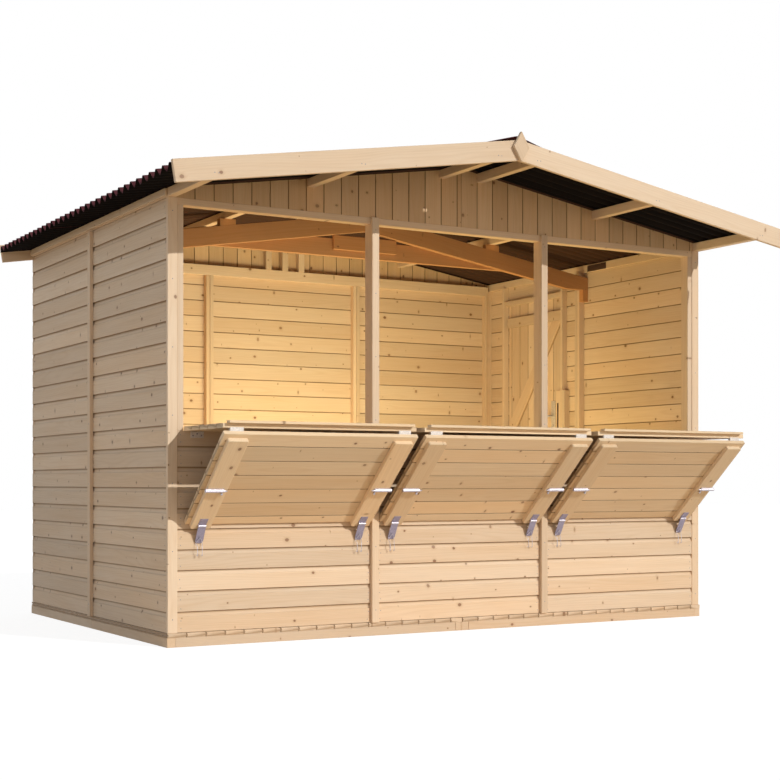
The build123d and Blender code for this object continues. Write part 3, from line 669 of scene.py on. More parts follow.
def boarding(piece, low, high, axes, pitch, cove=True, first=0.0):
    """Fills a panel between two corners with tongue-and-groove boards.

    axes are the directions along the boards, across them, and out of their face; first is where a
    joint falls, measured across the boards from the panel's edge.
    """
    along, across, out = axes
    a0, a1 = sorted((low.dot(along), high.dot(along)))
    b0, b1 = sorted((low.dot(across), high.dot(across)))
    c0, c1 = sorted((low.dot(out), high.dot(out)))
    outline = board_outline(pitch, c1 - c0, cove)
    half = bpy.context.scene.stall_sizes.joint_gap / 2
    rim = c1 - c0 - 0.0005
    tongue_room, plank_length = 0.02, 3.0
    n = -1 if first > 0 else 0
    while b0 + first + n * pitch < b1 - SLIVER:
        start = b0 + first + n * pitch
        end = start + pitch
        whole = pitch + (tongue_room if end < b1 - SLIVER else 0.0)
        cut = clipped(outline, max(b0 - start, 0.0), min(b1 - start, whole))
        tone = piece.tone()
        origin = (a0 - plank_length * piece.chance.random(), start, c0)
        # points below the face at a joint's sides get painted shade
        joint_shade_marks = [1.0 if v < rim and not half + 1e-5 < u < pitch - half - 1e-5 else 0.0 for u, v in cut]
        piece.prism([(u + start, v + c0) for u, v in cut], a0, a1, axes, tone, origin=origin, joint_shade_marks=joint_shade_marks)
        n += 1


def sliced(piece, part, along, across, out, pitch, first=0.0, cove=False):
    """Cuts a solid into boards of one pitch, with a thin core that stands for their tongues."""
    sizes = bpy.context.scene.stall_sizes
    spans = [[v.co.dot(axis) for v in part.verts] for axis in (along, across, out)]
    (a0, a1), (b0, b1), (c0, c1) = [(min(span), max(span)) for span in spans]
    half = sizes.joint_gap / 2
    core = part.copy()
    core_low, core_high, core_inset = 0.36, 0.62, sizes.joint_gap * 0.3
    trimmed(core, out, c0 + (c1 - c0) * core_low, c0 + (c1 - c0) * core_high)
    centre = along * (a0 + a1) / 2 + across * (b0 + b1) / 2
    for v in core.verts:
        away = v.co - centre
        for axis in (along, across):
            v.co -= axis * (core_inset * (1 if away.dot(axis) > 0 else -1))
    # the tongue core shows in the joints and is all painted shade
    piece.bevelled(core, 0, (along, across, out), piece.tone(), dark=lambda p: True)
    n = -1 if first > 0 else 0
    while b0 + first + n * pitch < b1 - SLIVER:
        start, end = b0 + first + n * pitch, b0 + first + (n + 1) * pitch
        board = part.copy()
        trimmed(board, across, max(b0 - 1, start + half) if start > b0 + SLIVER else b0 - 1, end - half)
        if len(board.faces) > 3:
            lip = []
            if cove and end < b1:
                for e in board.edges:
                    middle = (e.verts[0].co + e.verts[1].co) / 2
                    if abs(middle.dot(across) - (end - half)) < 1e-5 and abs(middle.dot(out) - c1) < 1e-5:
                        lip.append(e)
            if lip:
                bmesh.ops.bevel(
                    board, geom=lip, offset=sizes.cove_depth, segments=2, profile=0.35, affect="EDGES"
                )
            axes = (along, across, out)

            # points inside a joint, below the face, get painted shade
            def shut(p, start=start, end=end):
                u = p.dot(across)
                inside = start > b0 + SLIVER and u < start + half + 1e-4
                inside = inside or (end < b1 - SLIVER and u > end - half - 1e-4)
                return inside and p.dot(out) < c1 - 1e-4

            piece.bevelled(board, sizes.eased_edge * 0.75, axes, piece.tone(), lengthwise=along, dark=shut)
        else:
            board.free()
        n += 1
    part.free()


def trimmed(part, direction, low, high):
    """Cuts a solid down to what lies between two heights along a direction."""
    for limit, side in ((low, -1), (high, 1)):
        everything = part.verts[:] + part.edges[:] + part.faces[:]
        bmesh.ops.bisect_plane(
            part, geom=everything, dist=1e-7, clear_outer=True,
            plane_co=direction * limit, plane_no=direction * side,
        )
        rim = [e for e in part.edges if e.is_boundary]
        if rim:
            bmesh.ops.holes_fill(part, edges=rim, sides=0)
    part.normal_update()


# ---------------------------------------------------------------- operators
def boarded(name, body, slot, node, axes, cove=True):
    """Every solid of a rectangular panel node as boards."""
    pitch = bpy.context.scene.stall_sizes.board_pitch
    piece = Piece(name)
    for low, high in boxes(node):
        boarding(piece, low, high, axes, pitch, cove)
    return piece.build([slot], body, slot, node)


class STALL_OT_base(bpy.types.Operator):
    """Base beams and the tongue-and-groove floor on them"""

    bl_idname = "stall.base"
    bl_label = "Base and floor"

    def execute(self, context):
        timbers("base_beams", "stall", "floor_timber", "base_side_beams", "base_cross_beams")
        boarded("floor_boarding", "stall", "floor_timber", "floor_boards", (Y, X, Z), cove=False)
        return {"FINISHED"}


class STALL_OT_walls(bpy.types.Operator):
    """Side, back and front walls in coved boards, with their studs, battens and rails"""

    bl_idname = "stall.walls"
    bl_label = "Walls"

    def execute(self, context):
        sizes = context.scene.stall_sizes
        boarded("left_wall_boarding", "stall", "cladding", "left_wall", (Y, Z, -X))
        boarded("right_wall_boarding", "stall", "cladding", "right_wall_front", (Y, Z, X))
        boarded("back_wall_boarding", "stall", "cladding", "back_wall", (X, Z, Y))
        boarded("front_wall_boarding", "stall", "cladding", "front_wall", (X, Z, -Y))
        boarded("door_side_boarding", "stall", "cladding", "door_side_panels", (Y, Z, X))
        # the panel over the door keeps the joints of the panels beside it; a stop rail lies behind it
        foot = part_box("door_side_panels")[0].z
        (_, rail_top), (low, high) = sorted(boxes("door_head_panel"), key=lambda b: b[1].x)
        piece = Piece("door_head_boarding")
        first = sizes.board_pitch - (low.z - foot) % sizes.board_pitch
        boarding(piece, low, high, (Y, Z, X), sizes.board_pitch, first=first)
        for part in solids("door_head_panel"):
            if max(v.co.x for v in part.verts) <= rail_top.x + 1e-5:
                piece.bevelled(part, sizes.eased_edge, timber_axes(part), piece.tone())
            else:
                part.free()
        piece.build(["cladding"], "stall", "cladding", "door_head_panel")
        uprights = (
            "corner_boards", "corner_stiles", "front_posts", "front_cover_battens", "side_cover_battens",
        )
        timbers("corners_and_battens", "stall", "planed_timber", *uprights)
        rails = ("front_sill_rails", "front_header", "front_header_beam", "back_wall_plate")
        timbers("rails", "stall", "planed_timber", *rails)
        timbers("studs", "stall", "planed_timber", "wall_studs", "gable_studs")
        return {"FINISHED"}


class STALL_OT_gables(bpy.types.Operator):
    """Front and rear gables in upright boards"""

    bl_idname = "stall.gables"
    bl_label = "Gables"

    def execute(self, context):
        sizes = context.scene.stall_sizes
        for node, out in (("front_gable", -Y), ("rear_gable", Y)):
            piece = Piece(node + "_boarding")
            for part in solids(node):
                sliced(piece, part, Z, X, out, sizes.board_pitch)
            piece.build(["gable_cladding_painted_shade"], "stall", "cladding", node)
        return {"FINISHED"}


class STALL_OT_roof_timbers(bpy.types.Operator):
    """Purlins, truss, bargeboards and finials"""

    bl_idname = "stall.roof_timbers"
    bl_label = "Roof timbers"

    def execute(self, context):
        timbers("purlin_timbers", "stall", "planed_timber", "purlins")
        truss_nodes = ("truss_rafters", "truss_tie", "truss_plate", "truss_blocks")
        timbers("truss", "stall", "planed_timber", *truss_nodes, kind="truss_timber_painted_shade")
        timbers("bargeboards", "stall", "planed_timber", "front_bargeboards", "rear_bargeboards")
        timbers("finial_plates", "stall", "planed_timber", "finials", edge=0.0025)
        return {"FINISHED"}


def roof_slope(side, node):
    """One roof face: its down-slope and outward directions, its underside, and its points' run.

    The underside is measured outwards, and the run down the slope.
    """
    pitch = bpy.context.scene.stall_sizes.roof_pitch
    down = Vector((side * cos(pitch), 0, -sin(pitch)))
    out = Vector((side * sin(pitch), 0, cos(pitch)))
    verts = [v.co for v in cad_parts[node].data.vertices]
    lowest = min(v.dot(out) for v in verts)
    return down, out, lowest, [v.dot(down) for v in verts]


class STALL_OT_roofing(bpy.types.Operator):
    """Corrugated sheets in laps, the ridge cap and their nails"""

    bl_idname = "stall.roofing"
    bl_label = "Roofing"

    def execute(self, context):
        sizes = context.scene.stall_sizes
        nails = Piece("roof_nails")
        nail_cap = [(0.011, -0.001), (0.011, 0.0012), (0.0085, 0.003), (0.004, 0.0042), (0.001, 0.0045)]
        purlin_xs = sorted({round(abs(lo.x + hi.x) / 2, 4) for lo, hi in boxes("purlins")})
        for side, node in ((-1, "left_roof_sheet"), (1, "right_roof_sheet")):
            low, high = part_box(node)
            down, out, base, run = roof_slope(side, node)
            length_y = high.y - low.y
            halves = round(length_y / sizes.wave_pitch * 2)
            half_wave = length_y / halves
            piece = Piece(node + "_covering")

            def lift(y):
                return sizes.wave_height / 2 * (1 + cos(pi * (y - low.y) / half_wave))

            count = sizes.sheets_per_side
            waves, steps_per_half_wave = halves / 2, 7
            for n in range(count):
                # neighbouring sheets share one wave
                first, last = round(waves * n / count) - 0.5, round(waves * (n + 1) / count) + 0.5
                start = low.y + max(0.0, first) * 2 * half_wave if n else low.y
                end = low.y + last * 2 * half_wave if n < count - 1 else high.y
                rows = max(2, round((end - start) / half_wave * steps_per_half_wave))
                ys = [start + (end - start) * k / rows for k in range(rows + 1)]
                skin = sizes.sheet_thickness * 0.62
                rise = (sizes.sheet_thickness - skin) * (n % 2)
                points, faces = [], []
                for y in ys:
                    for t in (min(run), max(run)):
                        for v in (0.0, skin):
                            points.append(down * t + out * (base + lift(y) + rise + v) + Y * y)
                # each row has low and high skin at the ridge, then at the eave
                for k in range(rows):
                    a, b = 4 * k, 4 * (k + 1)
                    for p, q in ((1, 3), (3, 2), (2, 0), (0, 1)):
                        faces.append([a + p, a + q, b + q, b + p])
                faces += [[0, 2, 3, 1], [4 * rows + 1, 4 * rows + 3, 4 * rows + 2, 4 * rows]]
                if side > 0:
                    faces = [face[::-1] for face in faces]
                under = [1 if (i < 4 * rows and i % 4 == 2) else 0 for i in range(len(faces))]
                piece.take(points, faces, (down, Y, out), piece.tone())
                piece.slots[-len(faces):] = under
            piece.build(["roof_sheet", "roof_under"], "stall", "roof_sheet", node, smooth=45)
            # one capped nail on every second crest over the middle and eave purlins
            for x in purlin_xs[1:]:
                k = 0
                while low.y + 2 * k * half_wave < high.y - half_wave:
                    y = low.y + 2 * k * half_wave + (half_wave * 2 if k == 0 else 0)
                    proud = base + sizes.wave_height + sizes.sheet_thickness - 0.0006
                    along = (x - sin(sizes.roof_pitch) * proud) / cos(sizes.roof_pitch)
                    foot = down * along + out * proud + Y * y
                    nails.lathe(foot, out, nail_cap, 14)
                    k += 2
        nails.build(["ridge_cap"], "stall", "ridge_cap", smooth=50)

        # ridge cap, rounded over the ridge
        low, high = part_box("ridge_cap")
        half = high.x
        thick = sizes.sheet_thickness
        rise = high.z - thick - low.z
        soft = 0.007
        far = sqrt(half * half + soft * soft)
        line = []
        steps = 24
        for k in range(-steps, steps + 1):
            x = half * k / steps
            line.append((x, low.z + rise * (far - sqrt(x * x + soft * soft)) / half))
        section = line + [(x, z + thick) for x, z in reversed(line)]
        piece = Piece("ridge_cap_covering")
        n = len(section)
        points = [Vector((x, y, z)) for y in (low.y, high.y) for x, z in section]
        faces = [[i, (i + 1) % n, n + (i + 1) % n, n + i] for i in range(n)]
        m = len(line)
        # the ends are closed in strips, because a bent end is not flat enough for one face
        for k in range(m - 1):
            a, b, c, d = k, k + 1, n - 2 - k, n - 1 - k
            faces.append([a, d, c, b])
            faces.append([n + a, n + b, n + c, n + d])
        faces = [face[::-1] for face in faces]
        piece.take(points, faces, (Y, X, Z), 0.5)
        piece.build(["ridge_cap"], "stall", "ridge_cap", "ridge_cap", smooth=35)
        return {"FINISHED"}


class STALL_OT_hatches(bpy.types.Operator):
    """Folded-out serving counters: shelves, hanging leaves, battens and edge strips"""

    bl_idname = "stall.hatches"
    bl_label = "Serving hatches"

    def execute(self, context):
        sizes = context.scene.stall_sizes
        piece = Piece("shelf_boarding")
        for part in solids("hatch_shelves"):
            sliced(piece, part, X, -Y, -Z, sizes.board_pitch, first=sizes.shelf_first_joint, cove=True)
        piece.build(["hatch_timber"], "stall", "hatch_timber", "hatch_shelves")
        piece = Piece("hanging_leaf_boarding")
        for part in solids("hatch_prop_leaves"):
            up, out = leaf_directions(part)
            sliced(piece, part, X, -up, -out, sizes.board_pitch, first=sizes.leaf_first_joint, cove=True)
        piece.build(["hatch_timber"], "stall", "hatch_timber", "hatch_prop_leaves")
        # all the leaves hang at one slant, so up serves the battens too
        piece = Piece("leaf_battens")
        end_zone = 0.03
        for part in solids("hatch_prop_battens"):
            foot = max(v.co.dot(-up) for v in part.verts)
            for v in part.verts:
                if v.co.dot(-up) > foot - end_zone:
                    v.co -= up * sizes.batten_reach
            piece.bevelled(part, sizes.eased_edge, timber_axes(part), piece.tone())
        piece.build(["hatch_timber"], "stall", "hatch_timber", "hatch_prop_battens")
        timbers("shelf_edge_strips", "stall", "hatch_timber", "hatch_edge_strips")
        return {"FINISHED"}


def leaf_directions(part):
    """Up the slope of a hanging leaf, and out of its front face."""
    broad = max((f for f in part.faces if f.normal.z < -0.1), key=lambda f: f.calc_area())
    out = broad.normal.normalized()
    return X.cross(out).normalized() if X.cross(out).z > 0 else out.cross(X).normalized(), out


class STALL_OT_hatch_fittings(bpy.types.Operator):
    """Hinges, bolts and hanging latches of the serving hatches"""

    bl_idname = "stall.hatch_fittings"
    bl_label = "Hatch fittings"

    def execute(self, context):
        leaf = solids("hatch_prop_leaves")[0]
        up, out = leaf_directions(leaf)
        leaf.free()
        hinges = Piece("hatch_hinge_set")
        screw, leaf_thick = 0.0036, 0.002
        screw_shares = (0.18, 0.5, 0.82)
        for low, high in boxes("hatch_hinges"):
            middle = (low + high) / 2
            if high.y - low.y < 0.01:
                # the leaf on the wall, with a knuckle under the shelf
                hinges.plate(rectangle(low.x, low.z, high.x, high.z), low.y, high.y, (Y, X, Z), 0.0005)
                knuckle = Vector((low.x, low.y - 0.0025, high.z - 0.0040))
                self.knuckles(hinges, knuckle, high.x - low.x, 0.0036, 3)
                for share, drop in zip(screw_shares, (0.018, 0.010, 0.018)):
                    x = low.x + (high.x - low.x) * share
                    self.screw(hinges, Vector((x, low.y, high.z - drop - leaf_thick)), -Y, screw, slot=1)
                continue
            # plate across the gap, over the barrel, with one leaf under the shelf
            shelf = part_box("hatch_shelves")[0]
            plate = rectangle(low.x, high.z - 0.014, high.x, high.z + 0.004)
            hinges.plate(plate, low.y, low.y + 0.0022, (Y, X, Z), 0.0007)
            barrel = Vector((low.x, shelf.y + 0.006, high.z - 0.0055))
            self.knuckles(hinges, barrel, high.x - low.x, 0.0053, 5)
            under = rectangle(low.x, high.z - leaf_thick, high.x, high.z)
            hinges.plate(under, shelf.y + 0.006, high.y, (Y, X, Z), 0.0005)
            for share, inset in zip(screw_shares, (0.008, 0.014, 0.008)):
                x = low.x + (high.x - low.x) * share
                self.screw(hinges, Vector((x, high.y - inset, high.z - leaf_thick)), -Z, screw)
            # plate behind the hanging leaf
            pivot = Vector((middle.x, shelf.y - 0.001, high.z - 0.011))
            half = (high.x - low.x) / 2
            level, start = pivot.dot(-out), pivot.dot(-up)
            back = rectangle(middle.x - half, level, middle.x + half, level + leaf_thick)
            hinges.plate(back, start - 0.004, start + 0.030, (-up, X, -out), 0.0005)
            for share, drop in zip(screw_shares, (0.022, 0.014, 0.022)):
                spot = pivot + X * (share - 0.5) * 2 * half - up * drop - out * leaf_thick
                self.screw(hinges, spot, -out, screw)
        hinges.build(["hinge_steel", "nail_steel"], "stall", "galvanised_steel", "hatch_hinges", smooth=40)
        self.latches(context.scene.stall_sizes.latch_slide, up, out)
        self.bolts(up, out)
        return {"FINISHED"}

    @staticmethod
    def knuckles(piece, start, total, radius, count):
        """A hinge barrel along X, in knuckles with the pin's heads at both ends."""
        width, chamfered = total / count, radius * 0.8
        profile = [
            (chamfered, 0.0002), (radius, 0.0008), (radius, width - 0.0008), (chamfered, width - 0.0002)
        ]
        for n in range(count):
            piece.lathe(start + X * width * n, X, profile, 20)
        rim, pin = radius * 0.35, radius * 0.55
        profile = [(rim, 0.0), (pin, 0.0006), (pin, total + 0.0018), (rim, total + 0.0024)]
        piece.lathe(start - X * 0.0012, X, profile, 14)

    @staticmethod
    def screw(piece, place, out, radius, slot=0):
        """A countersunk screw head with a cross recess."""
        out = out.normalized()
        side = out.orthogonal().normalized()
        up = out.cross(side)
        dome = [(radius, -0.0005), (radius, 0.0003), (radius * 0.8, 0.0008), (radius * 0.3, 0.0009)]
        piece.lathe(place, out, dome, 16, slot)
        for a, b in ((side, up), (up, side)):
            half, wide = radius * 0.55, radius * 0.13
            corners = rectangle(-half, -wide, half, wide)
            points = [place + a * u + b * v + out * w for w in (0.0007, 0.00102) for u, v in corners]
            faces = [[3, 2, 1, 0], [4, 5, 6, 7], [0, 1, 5, 4], [1, 2, 6, 5], [2, 3, 7, 6], [3, 0, 4, 7]]
            if a.cross(b).dot(out) < 0:
                faces = [face[::-1] for face in faces]
            piece.take(points, faces, (X, Y, Z), 0.1, slot)

    def latches(self, slide, up, out):
        """Pressed plate, rolled end, hanging lever and sprung wire of each latch."""
        piece = Piece("hatch_latch_set")
        wires = Piece("hatch_latch_wires")
        down = -up
        seat, thick, roll_radius, wire, bend = 0.0025, 0.0022, 0.006, 0.0013, 0.0060
        for low, high in boxes("hatch_levers"):
            x = (low.x + high.x) / 2
            half = (high.x - low.x) / 2
            mine = between("hatch_levers", low.x, high.x)
            near = min(p.dot(down) for p in mine) + slide
            face = min(p.dot(out) for p in mine)
            far = max(p.dot(down) for p in mine if p.dot(out) < face + 0.001) + slide
            # plate on the batten, its end rolled round the lever's pin
            seated = rectangle(x - half, face, x + half, face + seat)
            piece.plate(seated, near, far, (down, X, out), 0.0006)
            for side in (-0.011, 0.011):
                for along in (near + 0.009, near + 0.025):
                    spot = X * (x + side) + down * along + out * (face + seat)
                    self.screw(piece, spot, out, 0.0030)
            roll = X * x + down * far + out * (face + roll_radius)
            rim, width = roll_radius - 0.0002, 2 * half
            profile = [(rim * 0.6, 0.0), (rim, 0.0004), (rim, width - 0.0004), (rim * 0.6, width)]
            piece.lathe(roll - X * half, X, profile, 24, slot=1)
            # the lever hangs from the roll to the wall, a little wider towards its rounded end
            tip = max(mine, key=lambda p: (round(p.y, 5), -p.z))
            drop_below = slide * -down.z + 0.004
            hang = Vector((0, tip.y - 0.0015 - roll.y, tip.z - drop_below - roll.z))
            run = hang.length - 0.0004
            hang.normalize()
            proud = X.cross(hang)
            proud = -proud if proud.y > 0 else proud
            near_half, far_half, corner = 0.0185, 0.0190, 0.011
            shape = [(0.0, -near_half)]
            for k in range(4):
                turn = pi / 2 * k / 3
                shape.append((run - corner + corner * sin(turn), -far_half + corner - corner * cos(turn)))
            shape += [(a, -u) for a, u in reversed(shape)]
            base = Vector((0, roll.y, roll.z))
            outline = [(base.dot(hang) + a, u + x) for a, u in shape]
            level = base.dot(proud)
            piece.plate(outline, level, level + thick, (proud, hang, X), 0.0005, grain=(hang, X, proud))

            def on_lever(along, side, lift):
                return X * (x + side) + base + hang * along + proud * (thick + lift)

            # wire clip: an arch on the lever, two straight legs below it that end in small hooks
            apex = on_lever(run - 0.032, 0.0, 0.0045)
            for side in (-1, 1):
                knee = on_lever(run - 0.002, side * 0.0155, 0.0040)
                drop = Vector((x + side * 0.0115, knee.y - 0.008, knee.z - 0.014))
                foot = Vector((x + side * 0.0110, knee.y - 0.012, knee.z - 0.050))
                turns = [pi * k / 6 for k in range(1, 7)]
                hook = [foot + Vector((0.0, bend * (1 - cos(turn)), -bend * sin(turn))) for turn in turns]
                wires.wire(eased([apex, knee, drop, foot] + hook, 3), wire)
                hold = on_lever(run - 0.008, side * 0.0135, 0.0006)
                eyelet = [(0.0018, 0.0), (0.0024, 0.0004), (0.0024, 0.0052), (0.0018, 0.0056)]
                wires.lathe(hold - X * 0.0028, X, eyelet, 12)
        looks = ["lever_steel", "galvanised_steel"]
        piece.build(looks, "stall", "galvanised_steel", "hatch_levers", smooth=40)
        wires.build(["galvanised_steel"], "stall", "galvanised_steel", smooth=60)

    @staticmethod
    def bolts(up, out):
        """Barrel bolts: a half-round housing, the bolt's tapered end and its knob."""
        piece = Piece("hatch_bolt_set")
        down = -up
        knob = [
            (0.0032, 0.0), (0.0032, 0.011), (0.0050, 0.013),
            (0.0056, 0.0165), (0.0046, 0.0190), (0.002, 0.0198),
        ]
        for low, high in boxes("hatch_bolts"):
            mine = between("hatch_bolts", low.x, high.x)
            face = min(p.dot(out) for p in mine)
            # the plate's two long edges lie on the batten
            seat = [p.dot(down) for p in mine if p.dot(out) < face + 1e-4]
            middle = (min(seat) + max(seat)) / 2
            knob_at = max(p.dot(down) for p in mine)
            xs = [p.x for p in mine if p.dot(down) > knob_at - 1e-4]
            knob_x = (min(xs) + max(xs)) / 2
            x = (low.x + high.x) / 2
            inward = 1 if knob_x > x else -1
            outer = low.x if inward > 0 else high.x
            reach = high.x - low.x
            housing, tall, proud, rod = reach * 0.84, 0.0085, 0.0145, 0.0046
            # half-round housing on the batten, then the bolt's tapered end
            turns = [pi * k / 10 for k in range(11)]
            arch = [(middle - tall * cos(turn), face + proud * sin(turn)) for turn in turns]
            ends = sorted((outer, outer + inward * housing))
            piece.plate(arch, *ends, (X, down, out), 0.0006)
            axis_out = face + proud * 0.5
            start = X * (outer + inward * (housing - 0.002)) + down * middle + out * axis_out
            taper = [(rod, 0.0), (rod, reach * 0.07), (rod * 0.75, reach * 0.11), (rod * 0.25, reach * 0.18)]
            piece.lathe(start, X * inward, taper, 20)
            # knob under the bolt
            foot = X * knob_x + down * (middle + 0.005) + out * axis_out
            piece.lathe(foot, down, knob, 20)
        piece.build(["galvanised_steel"], "stall", "galvanised_steel", "hatch_bolts", smooth=40)


def eased(path, steps):
    """A smooth line through the corner points of a bent wire."""
    ends = [path[0] * 2 - path[1], *path, path[-1] * 2 - path[-2]]
    line = []
    for p0, p1, p2, p3 in zip(ends, ends[1:], ends[2:], ends[3:]):
        for k in range(steps):
            t = k / steps
            line.append(
                0.5 * ((2 * p1) + (p2 - p0) * t + (2 * p0 - 5 * p1 + 4 * p2 - p3) * t * t
                       + (3 * p1 - p0 - 3 * p2 + p3) * t * t * t)
            )
    return line + [path[-1]]


class STALL_OT_door(bpy.types.Operator):
    """Ledged and braced door with its strap hinges and lock"""

    bl_idname = "stall.door"
    bl_label = "Door"

    def execute(self, context):
        sizes = context.scene.stall_sizes
        piece = Piece("door_boarding")
        low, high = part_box("door_leaf")
        boarding(piece, low, high, (Z, Y, X), sizes.board_pitch, cove=False, first=sizes.door_first_joint)
        piece.build(["door_timber"], "door", "door_timber", "door_leaf")
        timbers("door_block_timber", "door", "door_timber", "door_lock_block")
        self.braces(sizes)
        timbers("lock_keep_block", "stall", "planed_timber", "door_lock_keep")
        self.hinges()
        self.lock()
        return {"FINISHED"}

    @staticmethod
    def braces(sizes):
        """Three ledges, and a brace in each half that rises from the hinged edge to the lock's."""
        piece = Piece("door_frame_timbers")
        (low, _), (_, high) = sorted(boxes("door_ledges"), key=lambda b: b[0].z)
        front, rear, width = low.y, high.y, sizes.ledge_width
        feet = (low.z, sizes.middle_ledge_top - width, high.z + sizes.ledge_raise - width)
        # painted shade: the sides of the ledges and braces darken towards the door boards, all but lit_depth
        # at their faces
        lit_depth = 0.006

        def flat(corners, along):
            piece.bar(
                corners, low.x, high.x, (X, Y, Z), sizes.eased_edge,
                grain=(along, X.cross(along), X), dark=lambda p: p.x > low.x + lit_depth,
            )

        for foot in feet:
            flat(rectangle(front, foot, rear, foot + width), Y)
        for foot, head in ((feet[0] + width, feet[1]), (feet[1] + width, feet[2])):
            run, rise = rear - front, head - foot
            slope = sqrt(run * run + rise * rise)
            upright, level = sizes.brace_width * slope / run, sizes.brace_width * slope / rise
            corners = [(rear, foot), (rear, foot + upright), (front + level, head), (front, head)]
            flat(corners, (Y * -run + Z * rise) / slope)
        piece.build(["door_timber"], "door", "door_timber", "door_ledges", "door_brace")

    @staticmethod
    def hinges():
        """Strap hinges with their pins, and the plates on the wall that carry them."""
        screw = STALL_OT_hatch_fittings.screw
        thick, eye = 0.003, 0.008
        straps, plates = Piece("door_strap_set"), Piece("door_hinge_plate_set")
        for low, high in boxes("door_hinge_straps"):
            z0, z1, end = low.z, high.z, low.y
            middle = (z0 + z1) / 2
            axis_y = high.y - eye
            # tapered strap with a spade end
            outline = [
                (end, middle - 0.006), (end + 0.006, middle - 0.011), (end + 0.020, middle - 0.012),
                (axis_y - 0.012, z0), (axis_y - 0.010, z0), (axis_y - 0.010, z1), (axis_y - 0.012, z1),
                (end + 0.020, middle + 0.012), (end + 0.006, middle + 0.011), (end, middle + 0.006),
            ]
            straps.plate(outline, low.x, low.x + thick, (X, Y, Z), 0.0006)
            neck = rectangle(axis_y - 0.011, middle - 0.009, axis_y, middle + 0.009)
            straps.plate(neck, low.x, low.x + thick, (X, Y, Z), 0.0004)
            # the eye is a tube round the pin
            base = Vector((high.x - eye, axis_y, middle - 0.009))
            ring = [
                (eye - 0.0004, 0.0), (eye, 0.0005), (eye, 0.0175),
                (eye - 0.0004, 0.018), (0.0042, 0.018), (0.0042, 0.0),
            ]
            straps.lathe(base, Z, ring, 24, hollow=True)
            for y in (end + 0.014, end + 0.085, end + 0.160, end + 0.235, axis_y - 0.022):
                screw(straps, Vector((low.x + thick, y, middle)), X, 0.0045)
        straps.build(["galvanised_steel"], "door", "galvanised_steel", "door_hinge_straps", smooth=40)
        for low, high in boxes("door_hinge_plates"):
            axis = Vector((high.x - eye, low.y + eye, low.z))
            tall = high.z - low.z
            leaf = rectangle(axis.y + 0.009, low.z, high.y, high.z)
            plates.plate(leaf, low.x, low.x + thick, (X, Y, Z), 0.0006)
            knuckle, rim = (tall - 0.018) / 2 - 0.001, eye - 0.0006
            profile = [(rim, 0.0), (eye, 0.0006), (eye, knuckle - 0.0006), (rim, knuckle)]
            for z in (low.z, high.z - knuckle):
                neck = rectangle(axis.y, z, axis.y + 0.0095, z + knuckle)
                plates.plate(neck, low.x, low.x + thick, (X, Y, Z), 0.0004)
                plates.lathe(Vector((axis.x, axis.y, z)), Z, profile, 24)
            pin = [(0.0036, 0.0005), (0.004, 0.001), (0.004, tall - 0.001), (0.0036, tall - 0.0005)]
            plates.lathe(axis, Z, pin, 20)
            near, far, inset = 0.020, 0.048, 0.010
            rows = ((near, inset), (far, inset), (0.034, tall / 2), (near, tall - inset), (far, tall - inset))
            for y, z in rows:
                screw(plates, Vector((low.x + thick, axis.y + y, low.z + z)), X, 0.0042)
        plates.build(["galvanised_steel"], "stall", "galvanised_steel", "door_hinge_plates", smooth=40)

    @staticmethod
    def lock():
        """Back plate, handle and cylinder inside, and a dark plate of painted shade on the block."""
        screw = STALL_OT_hatch_fittings.screw
        piece = Piece("door_lock_set")
        low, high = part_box("door_lock_case")
        thick, lever, handle_height = 0.004, 0.0068, 0.117
        y0, y1 = low.y + 0.029, low.y + 0.071
        backplate = rectangle(y0, low.z, y1, high.z)
        piece.plate(backplate, high.x - thick, high.x, (X, Y, Z), 0.0012, segments=2)
        centre = Vector((high.x - thick, (y0 + y1) / 2, low.z + handle_height))
        rose = [
            (0.015, -0.001), (0.015, 0.003), (0.013, 0.005), (0.0085, 0.006), (0.0075, 0.008), (lever, 0.034)
        ]
        piece.lathe(centre, -X, rose, 28)
        bend = centre - X * 0.034
        path = [bend + X * 0.006] + [bend + Y * y for y in (0.001, 0.010, 0.03, 0.050, 0.0575)]
        piece.wire(eased(path, 5), lever, 16)
        # cylinder under the handle, and the fixing screws
        key = centre - Z * 0.060
        piece.lathe(key, -X, [(0.0085, -0.001), (0.0085, 0.004), (0.0070, 0.0052), (0.002, 0.0054)], 24)
        keyway = rectangle(key.y - 0.0006, key.z - 0.0045, key.y + 0.0006, key.z + 0.0045)
        piece.plate(keyway, key.x - 0.0058, key.x - 0.0045, (X, Y, Z), 0.0)
        for z in (low.z + 0.010, high.z - 0.010):
            screw(piece, Vector((high.x - thick, centre.y, z)), -X, 0.0038)
        piece.build(["hinge_steel"], "door", "galvanised_steel", "door_lock_case", smooth=40)
        # painted shade: a dark plate on the block's face, where the gap beside the keep lies in shade
        corner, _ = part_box("door_lock_block")
        piece = Piece("door_lock_forend")
        gap_shade_plate = rectangle(corner.y + 0.034, corner.z + 0.006, corner.y + 0.048, corner.z + 0.255)
        piece.plate(gap_shade_plate, corner.x - 0.0012, corner.x + 0.001, (X, Y, Z), 0.0004)
        piece.build(["dark_plate"], "door", "galvanised_steel")


